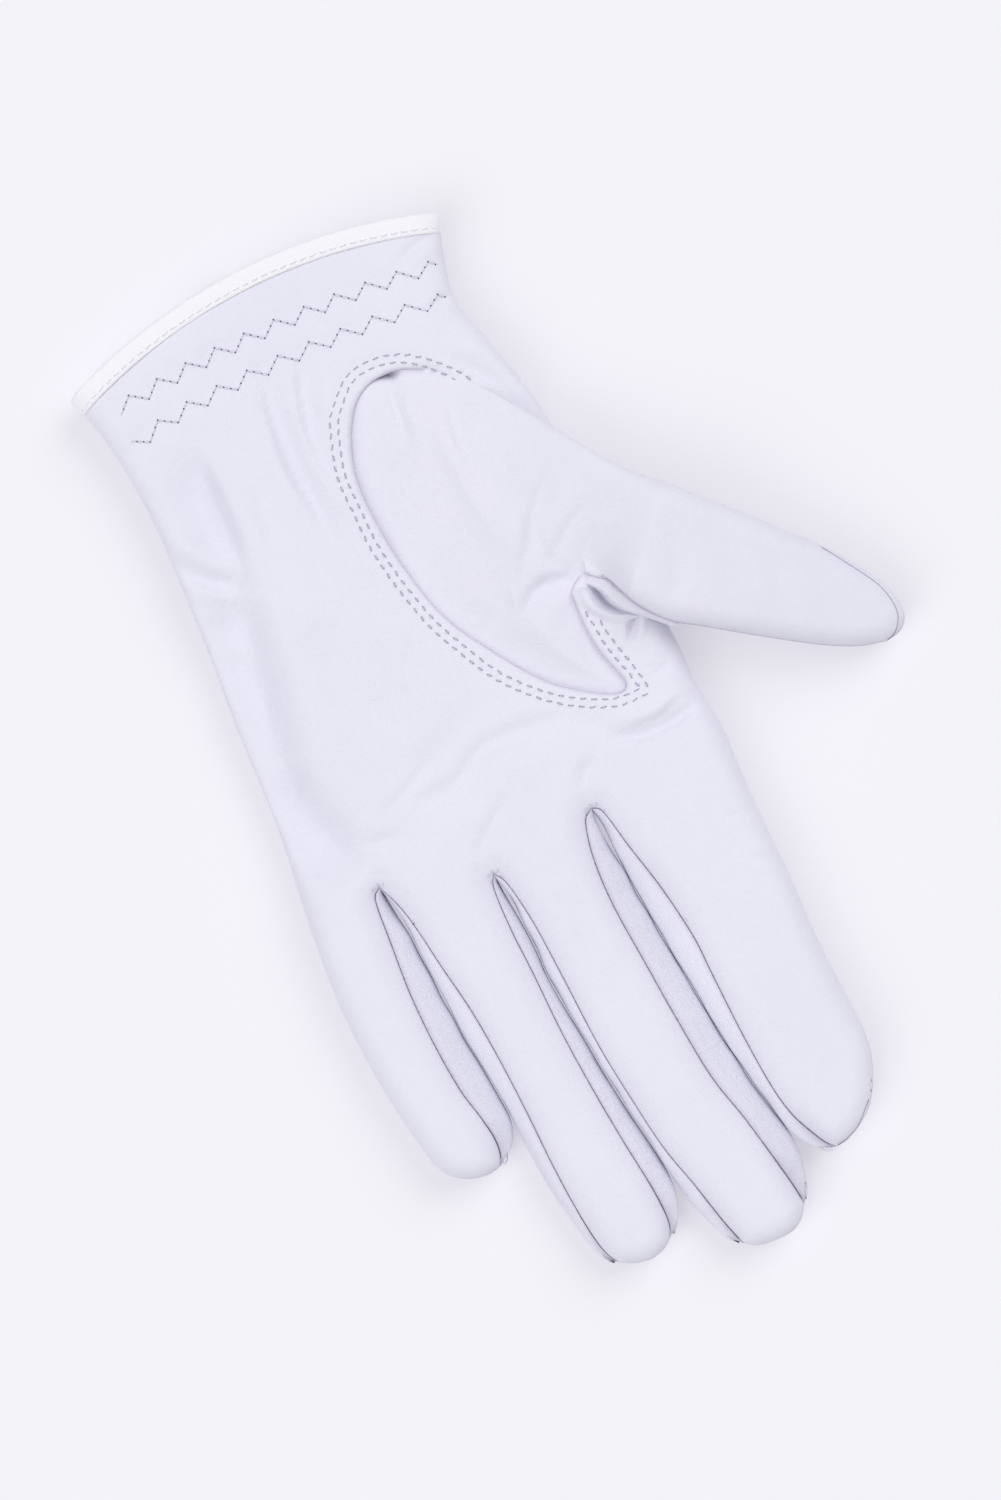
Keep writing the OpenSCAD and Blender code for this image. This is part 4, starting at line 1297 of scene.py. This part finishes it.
def plastic(name, colour):
    """Plain moulded plastic."""
    m, n = new_material(name)
    grain = n.noise(n.place(), 1.6, 4.0)
    base = n.mix(n.times(grain, 0.3), colour, darker(colour, 0.8))
    n.surface(Base_Color=base, Roughness=0.38, Normal=n.bump(grain, 0.06, 0.4), Specular_IOR_Level=0.5)
    return m


def floor_finish():
    """The studio's floor, which is partly self-lit so that it is as bright as the leather."""
    m, n = new_material("studio_floor")
    tone = n.noise(n("NewGeometry").outputs["Position"], 4.0, 3.0)
    base = n.mix(n.times(tone, 0.15), FLOOR_COLOUR, darker(FLOOR_COLOUR, 0.985))
    n.surface(Base_Color=base, Roughness=0.75, Specular_IOR_Level=0.15, Emission_Color=FLOOR_GLOW,
              Emission_Strength=0.405)
    return m


LEATHER_COLOUR = (0.775, 0.765, 0.87)
FLOOR_COLOUR = (0.505, 0.5, 0.531)
FLOOR_GLOW = (0.897, 0.888, 0.945, 1)
# The colour of the dark seam lines, of the painted shadow along the palm's edge round the thumb, and of the
# painted shade in the crinkles
SEAM_AND_SHADE_COLOUR = (0.45, 0.42, 0.56)
# Painted shade in a needle hole
HOLE_SHADE_COLOUR = (0.13, 0.11, 0.2)
palm_leather = leather("palm_leather", LEATHER_COLOUR, (0.76, 0.75, 0.86), SEAM_AND_SHADE_COLOUR, 0.52)
thumb_leather = leather("thumb_leather", (0.77, 0.76, 0.862), (0.75, 0.74, 0.85), SEAM_AND_SHADE_COLOUR, 0.5, 1.1)
# The dotted fourchettes are a darker colour than the smooth ones: painted shade. Their dots are the leather's
# own pattern.
dotted_shaded_side = leather("fourchette_leather", (0.73, 0.72, 0.83), (0.7, 0.69, 0.805), SEAM_AND_SHADE_COLOUR, 0.6, 1.3,
                       dots=0.4)
smooth_side = leather("fourchette_leather_smooth", (0.77, 0.76, 0.868), (0.75, 0.74, 0.85), SEAM_AND_SHADE_COLOUR,
                      0.55, 1.1)
tape = woven("binding_fabric", (0.94, 0.935, 0.985), 0.8, 0.45, 0.09)
elastic_band = woven("elastic", (0.82, 0.81, 0.86), 0.8, 1.1, 0.3, ribbed=True)
loop_cloth = woven("loop_fabric", (0.80, 0.80, 0.85), 0.95, 0.6, 0.35)
hook_plastic = plastic("hook_plastic", (0.82, 0.82, 0.86))
# Each thread's second colour is painted shade at its ends, where they go down into the needle holes
light_thread = thread_finish("light_thread", (0.75, 0.74, 0.85), (0.5, 0.48, 0.6))
# Dark blobs of painted shade, standing for the insides of needle holes
hole_shade_finish = thread_finish("needle_hole_shade", (0.1, 0.09, 0.15), (0.1, 0.09, 0.15))
dark_thread = thread_finish("dark_thread", (0.5, 0.48, 0.62), HOLE_SHADE_COLOUR)
seam_thread = thread_finish("seam_thread", (0.36, 0.34, 0.47), (0.2, 0.18, 0.3))
tape_thread = thread_finish("tape_thread", (0.87, 0.86, 0.92), (0.42, 0.4, 0.5))


# ---------------- what each piece moves with and stands for

def finish_piece(nodes):
    """Hides the CAD nodes that a piece stands for."""
    if nodes:
        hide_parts(*nodes)


def place(obj, body, slot_name, *nodes):
    """A piece that moves with one body."""
    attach(obj, body)
    finish_piece(nodes)


def bend_finger(obj, node):
    """A piece of a finger's root or tip: its transform is baked into its mesh, and its CAD node is hidden."""
    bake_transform(obj)
    finish_piece([node])


def bend_thumb(obj, node):
    """A piece of the thumb's root, tip or gusset: its transform is baked into its mesh, and its CAD node is
    hidden.
    """
    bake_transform(obj)
    finish_piece([node])


# ---------------- leather pieces

place(palm.piece("palm_leather_panel", hand_region, palm_leather), "hand", "leather", "palm_panel")
place(back.piece("back_leather_panel", hand_region, palm_leather), "hand", "leather", "back_panel")

for finger in FINGERS:
    for face, side in ((palm, "palm"), (back, "back")):
        for end in ("root", "tip"):
            name = f"{finger}_{side}_{end}"
            part = face.piece(name + "_leather", lambda c: finger_region(c, finger, end), palm_leather)
            bend_finger(part, name)

SIDES = [("index", "inner", smooth_side), ("middle", "outer", dotted_shaded_side), ("middle", "inner", smooth_side),
         ("ring", "outer", dotted_shaded_side), ("ring", "inner", smooth_side), ("little", "outer", dotted_shaded_side)]
for (finger, side, finish), top, bottom in zip(SIDES, PALM_SIDES, BACK_SIDES):
    name = f"{finger}_{side}_fourchette"
    parts = fourchette(name, top, bottom, bend_of(finger, "tip")[0], finish)
    for part, end in zip(parts, ("root", "tip")):
        bend_finger(part, f"{name}_{end}")

for face, name, nodes in ((thumb, "thumb_base", ["thumb_base"]), (thumb_under, "thumb_base_under", [])):
    part = face.piece(name + "_leather", lambda c: ~thumb_region(c, THUMB_CUT), thumb_leather)
    place(part, "hand", "thumb_leather", *nodes)
for face, side in ((thumb, "palm"), (thumb_under, "back")):
    for end, reach in (("root", (THUMB_CUT, THUMB_MIDDLE_CUT)), ("tip", (THUMB_MIDDLE_CUT, np.inf))):
        name = f"thumb_{side}_{end}"
        bend_thumb(face.piece(name + "_leather", lambda c: thumb_region(c, *reach), thumb_leather), name)

# The seams that show at the tips of the thumb and the index finger, and the two last stitches there
THUMB_TIP_SEAM = [(-74.7, -3.2), (-76.3, -0.5), (-77.7, 2), (-79.7, 5.6), (-81.3, 8.9), (-82.1, 12.5),
                  (-82, 15.4), (-81, 17.4), (-79.4, 19), (-77.9, 19.4)]
INDEX_TIP_SEAM = [(-30.5, 98.4), (-28.6, 100), (-26.6, 101.8), (-24.6, 102.8), (-22.6, 103.5),
                  (-20.8, 103.6)]
INDEX_TIP_STITCHES = [[(-32.9, 95.1), (-32.7, 95.6)], [(-31.9, 96.9), (-31.7, 97.4)]]
for name, face, seams in (("thumb_tip", thumb, [THUMB_TIP_SEAM]),
                          ("index_tip", palm, [INDEX_TIP_SEAM] + INDEX_TIP_STITCHES)):
    lines = [on_face(face, spline(seam, 0.4), -0.03)[0] for seam in seams]
    place(threads(name + "_seam_thread", lines, 0.1, seam_thread), name, "thread")

# Three short stitches over the edge of the palm in the crotch of each two fingers
lines = []
for side in (0, 2, 4):
    first, last = PALM_SIDES[side][0], PALM_SIDES[side + 1][0]
    crotch = min(np.vstack([first, last]), key=lambda q: q[1])
    for x, length in ((-1.2, 0.9), (0.1, 1.2), (1.2, 0.8)):
        flat = np.array([(crotch[0] + x, crotch[1] - length), (crotch[0] + 0.9 * x, crotch[1] - 0.1)])
        p, n = on_face(palm, flat, 0.02)
        lines.append(stitch(p[0], p[1], n[0], rise=0.2, sink=0.16))
place(threads("crotch_stitches_thread", lines, STITCH_RADIUS, light_thread), "hand", "thread")


# ---------------- thumb gusset

# A small folded tongue in the crotch of the thumb, lofted through lines with heights
GUSSET = [
    [(-31.4, -21.6, 8.6), (-32.8, -20.2, 9.4), (-34.5, -18.4, 10.3), (-35.6, -15.9, 11.3),
     (-36.5, -13.3, 12.3), (-37.5, -10.8, 12.5), (-39, -8.3, 12.3), (-42.8, -3.9, 11.6)],
    [(-30.9, -21.3, 8.9), (-32.2, -19.9, 9.8), (-33.8, -18.3, 10.7), (-34.8, -15.9, 11.7),
     (-35.7, -13.2, 12.6), (-36.8, -10.6, 12.8), (-38.3, -8.1, 12.6), (-42.3, -3.4, 11.9)],
    [(-30, -20.7, 8.9), (-31.1, -19.3, 9.7), (-32.5, -17.9, 10.5), (-33.5, -15.8, 11.3), (-34.2, -13.4, 12),
     (-35, -11.2, 12.2), (-36.8, -8.7, 12.2), (-41.8, -3.2, 11.6)],
    [(-29.4, -20.2, 9), (-30.6, -18.9, 9.9), (-31.6, -17.4, 10.7), (-32.4, -15.6, 11.1), (-33, -13.4, 11.4),
     (-34.2, -10.9, 11.4), (-36, -8.9, 11.3), (-40.9, -3.6, 11)],
    [(-28.7, -19.9, 8.8), (-30.5, -18.4, 8.8), (-31.3, -16.8, 7.2), (-31.6, -15.2, 7), (-32.1, -13.4, 7.6),
     (-33.8, -11, 9), (-35.6, -9.6, 9.7), (-38.8, -6.2, 9.5)],
    [(-28.3, -19.8, 8.9), (-30, -18.4, 9.2), (-30.9, -16.8, 8), (-31.2, -15.2, 7.8), (-31.7, -13.4, 8.2),
     (-33.5, -11, 9.2), (-35.4, -9.5, 9.8), (-38.5, -6.4, 9.5)],
    [(-27.6, -19.6, 9.3), (-28.7, -18.2, 10.5), (-28.9, -16.8, 10.9), (-29.1, -15.2, 10.9),
     (-29.8, -13.2, 10.8), (-31.8, -11, 10.5), (-34.6, -9.3, 10.1), (-37.2, -7.6, 9.4)],
    [(-26.7, -19, 9.2), (-26.7, -18, 9.6), (-26.7, -16.6, 9.6), (-27.2, -14.8, 9.6), (-28.2, -13, 9.7),
     (-30.6, -10, 9.8), (-33.4, -8.7, 9.7), (-36, -8.6, 9.2)],
]
rows, across_rows = 48, 30
lines = [resample(spline(g, 0.4), count=rows) for g in GUSSET]
sections = [resample(spline([line[i] for line in lines], 0.3), count=across_rows) for i in range(rows)]
v = np.array(sections).reshape(-1, 3)
tri = two_triangles(grid_faces(rows, across_rows))
n = normals_of(v, tri)
if n[:, 2].mean() < 0:
    tri, n = tri[:, ::-1], -n
mark = np.tile(bell((np.linspace(0, 1, across_rows) - 0.05) * 26), rows)        # the seam along one edge
part = leather_piece("thumb_gusset_leather", v, tri, n, thumb_leather, mark, THIN_LEATHER)
bend_thumb(part, "thumb_gusset")


# ---------------- cuff

def mouth(radius):
    """The line of the leather's edge round the cuff's mouth, from one side of the vent to the other."""
    def side(face, a, b):
        return face.on(arc(CUFF_CENTRE, radius, a, b, 0.35), -LEATHER / 2)
    right, left = CUFF_RIGHT - 0.02, CUFF_LEFT + 0.02
    parts = [side(back, angle_of(VENT_RIGHT) + 0.35, right), side(palm, right, left),
             side(back, left, angle_of(VENT_LEFT) - 0.35)]
    line = resample(np.vstack(parts), 0.7)
    kernel = np.ones(5) / 5
    for k in range(3):
        line[2:-2, k] = np.convolve(line[:, k], kernel, "valid")
    return line


mouth_line = mouth(LEATHER_R - 0.3)
radial = np.column_stack([mouth_line[:, :2] - CUFF_CENTRE, np.zeros(len(mouth_line))])
radial /= np.linalg.norm(radial, axis=1)[:, None]
along = np.gradient(mouth_line, axis=0)
along /= np.linalg.norm(along, axis=1)[:, None]
out = np.cross(radial, along)
out /= np.linalg.norm(out, axis=1)[:, None]
if out[len(out) // 2, 2] < 0:
    out = -out
# Half the tape's section outside the leather, and half of it inside: both are mirrored
TAPE_OUTSIDE = [(-3.2, 0.34), (-3.3, 0.52), (-3.1, 0.72), (-2.6, 0.78), (-1.6, 0.84), (-0.6, 0.86),
                (0.3, 0.78), (0.8, 0.52)]
TAPE_INSIDE = [(-3, -0.33), (-1.4, -0.34), (0.2, -0.34)]
outside = TAPE_OUTSIDE + [(0.98, 0)] + [(x, -y) for x, y in TAPE_OUTSIDE[::-1]]
inside_tape = TAPE_INSIDE + [(0.55, 0)] + [(x, -y) for x, y in TAPE_INSIDE[::-1]]
part = swept("cuff_binding_tape", mouth_line, radial, out, outside + inside_tape, tape)
place(part, "hand", "binding_fabric", "cuff_binding")

# Its row of stitches runs near the tape's inner edge
lines = row_of_stitches(mouth_line - radial * 2.3 + out * 0.72, out, 2.1, rise=0.2, sink=0.15)
part = threads("binding_stitching_thread", lines, STITCH_RADIUS, tape_thread)
place(part, "hand", "thread", "binding_stitching")


# ---------------- wrist elastic and zigzags

# The elastic inside the wrist, drawn in behind the zigzags
ELASTIC_TOP = 8.3       # the highest that its middle runs
x = np.linspace(-32, 36, 90)
mid = zigzag_line(x, 0.5)
path = palm.on(np.column_stack([x, mid]), -LEATHER - 0.5)
path[:, 2] = np.minimum(path[:, 2], ELASTIC_TOP)
cross = np.tile((0.0, 1.0, 0.0), (len(x), 1))
rise = np.tile((0.0, 0.0, 1.0), (len(x), 1))
ribbing = [(y, 0.35 + 0.06 * math.cos(y * 4.2)) for y in np.linspace(-6.6, 6.6, 40)]
section = ribbing + [(y, -z) for y, z in ribbing[::-1]]
part = swept("wrist_elastic_band", path, cross, rise, section, elastic_band)
place(part, "hand", "elastic", "wrist_elastic")

# Zigzag stitching: each leg of it is three short stitches, with a dark blob of painted shade for the needle
# hole before each
lines, holes = [], []
SWING = 1.35                                                        # half the height of a zigzag
ZIGZAGS = [(-36.2, 6.53, 22, -34.8), (-34.9, 6.79, 21, -33.6)]      # start, pitch, legs, first stitch
for row, (x_first, pitch, legs, x_from) in enumerate(ZIGZAGS):
    for leg in range(legs):
        x0 = x_first + leg * pitch / 2
        ends = np.array([(x0, -SWING), (x0 + pitch / 2, SWING)]) * (1, 1 if leg % 2 else -1)
        ends[:, 1] += zigzag_line(ends[:, 0], row)
        flat = resample(ends, count=4)
        p, n = on_face(palm, flat, 0.02)
        for i in range(3):
            if flat[i, 0] < x_from:
                continue
            d = (p[i + 1] - p[i]) * 0.12
            lines.append(stitch(p[i] + d, p[i + 1] - d, n[i], rise=0.2, sink=0.04))
            holes.append(p[i] + n[i] * np.array([[-0.2], [-0.05], [0.07]]) * (1.0 if i else 1.6))
part = threads("zigzag_stitching_thread", lines, 0.11, light_thread)
place(part, "hand", "thread", "zigzag_stitching")
# Dark blobs of painted shade where the needle holes are
part = threads("zigzag_needle_hole_shades", holes, 0.21, hole_shade_finish)
place(part, "hand", "thread")

# The two rows of stitches round the thumb, which run on beside it towards the crotch
lines = []
for curve in (outer_row, inner_row, side_row, inner_side_row):
    p, n = on_face(palm, curve, 0.02)
    lines += row_of_stitches(p, n, 2.2, gap=0.48, rise=0.18, sink=0.06)
part = threads("thumb_stitching_thread", lines, 0.12, dark_thread)
place(part, "hand", "thread", "thumb_stitching")


# ---------------- closure on the back of the wrist

TAB_HINGE_X, TAB_END_X = 16.0, -12.5        # where its hinge is, and where its round end starts
TAB_LOW, TAB_MIDDLE, TAB_HIGH = -94.0, -80.0, -66.0
TAB_RADIUS = TAB_HIGH - TAB_MIDDLE
TAB_THICK = 1.0
PAD_TOP = 2.75          # where the loop pad and the tab's anchor meet the back
tab_loop = join(straight((TAB_HINGE_X, TAB_LOW), (TAB_HINGE_X, TAB_HIGH)),
                straight((TAB_HINGE_X, TAB_HIGH), (TAB_END_X, TAB_HIGH)),
                arc((TAB_END_X, TAB_MIDDLE), TAB_RADIUS, 90, 270),
                straight((TAB_END_X, TAB_LOW), (TAB_HINGE_X, TAB_LOW)))
tab_loop = resample(np.vstack([tab_loop, tab_loop[:1]]), 0.9)[:-1]
part = slab("closure_tab_leather", tab_loop, 0, TAB_THICK, palm_leather, 0.45, 1.6)
place(part, "tab", "leather", "closure_tab")

# A row of stitches on both faces of the tab, round all its edge but the hinge's
free_edge = tab_loop[tab_loop[:, 0] < TAB_HINGE_X - 0.5]
first = int(np.argmax(np.linalg.norm(np.diff(free_edge, axis=0), axis=1))) + 1
free_edge = np.roll(free_edge, -first, axis=0)
centre = np.array([-4.0, TAB_MIDDLE])       # the edge shrinks towards this point by 2 mm at the round end
row = resample(centre + (free_edge - centre) * (1 - 2 / TAB_RADIUS), 0.7)
lines = []
for z, up in ((0, -1), (TAB_THICK, 1)):
    p = np.column_stack([row, np.full(len(row), z)])
    lines += row_of_stitches(p, np.tile((0, 0, up), (len(row), 1)), 2.2, rise=0.14, sink=0.2)
part = threads("tab_stitching_thread", lines, STITCH_RADIUS, light_thread)
place(part, "tab", "thread", "tab_stitching")

# The hook pad under the tab, with its small bent hooks
hook_loop = rounded_box(-24, -2, -92, -68, 5)
part = slab("hook_pad_plastic", hook_loop, TAB_THICK, 1.3, hook_plastic, 0.12, 2)
hooks = hex_grid((-23, -91), (-3, -69), 1.25, 7)
hooks = hooks[inside(hooks, hook_loop) & (Nearest([hook_loop])(hooks)[0] > 1)]
lines = [np.array([(x, y, 1.25), (x, y, 1.5), (x, y, 1.62), (x + 0.2, y, 1.66)]) for x, y in hooks]
stems = threads("hook_pad_hooks", lines, STITCH_RADIUS, hook_plastic, 5)
place(part, "tab", "hook_plastic", "hook_pad")
place(stems, "tab", "hook_plastic")

part = slab("loop_pad_cloth", rounded_box(-24, 4, -93, -67, 2.5), 2, PAD_TOP, loop_cloth, 0.3, 1)
place(part, "hand", "loop_fabric", "loop_pad")

part = slab("tab_anchor_leather", rounded_box(16.35, 25.15, TAB_LOW, TAB_HIGH, 2), 0, PAD_TOP, palm_leather,
            0.6, 1.4)
place(part, "hand", "leather", "tab_anchor")


# ---------------- camera, light and floor

# The camera looks straight down. Its right and its up are turned in the plane of the palm
ABOVE = Vector((0.87, 1.8, 8.0))                # the point at the middle of the picture
RIGHT = Vector((-0.8788, 0.4772, 0.0))
UP = Vector((-0.4772, -0.8788, 0.0))
LENS, SENSOR, FRAME_LONG = 100.0, 36.0, 300.0   # FRAME_LONG is what the picture's long side takes in

scene = bpy.context.scene
camera_data = bpy.data.cameras.new("camera")
camera_data.lens = LENS
camera_data.sensor_width = SENSOR
camera = bpy.data.objects.new("camera", camera_data)
distance = FRAME_LONG * LENS / SENSOR
facing = Matrix((RIGHT, UP, Vector((0, 0, 1)))).transposed()
camera.matrix_world = Matrix.Translation((ABOVE + Vector((0, 0, distance))) * MM) @ facing.to_4x4()
scene.collection.objects.link(camera)
scene.camera = camera
scene.view_settings.view_transform = "Standard"

# A large soft light from each side, low over the glove, and a weak one from above: each one's name, the
# direction that it comes from, and its strength
LIGHTS = [("left_light", (0.975, 0.222, 0.9), 1.15), ("right_light", (-0.909, -0.417, 0.9), 1.35),
          ("top_light", (0.1, -0.1, 1.0), 0.6)]
LIGHT_ANGLE = 45        # how wide each light is, in degrees
ROOM_LIGHT = 0.34       # the even light of the room
for name, direction, strength in LIGHTS:
    light_data = bpy.data.lights.new(name, "SUN")
    light_data.angle = math.radians(LIGHT_ANGLE)
    light_data.energy = strength
    light = bpy.data.objects.new(name, light_data)
    light.rotation_euler = Vector(direction).to_track_quat("Z", "Y").to_euler()
    scene.collection.objects.link(light)

world = bpy.data.worlds.new("studio")
scene.world = world
world.use_nodes = True
background = world.node_tree.nodes["Background"]
background.inputs["Color"].default_value = (1, 1, 1, 1)
background.inputs["Strength"].default_value = ROOM_LIGHT

FLOOR_HALF, FLOOR_DROP = 1.6, 0.0003     # in metres: half its side, and how far it lies below the glove
mesh = bpy.data.meshes.new("floor")
corners = [(x * FLOOR_HALF, y * FLOOR_HALF, 0) for x, y in ((-1, -1), (1, -1), (1, 1), (-1, 1))]
mesh.from_pydata(corners, [], [(0, 1, 2, 3)])
mesh.materials.append(floor_finish())
floor = bpy.data.objects.new("floor", mesh)
floor.location.z = -FLOOR_DROP
scene.collection.objects.link(floor)
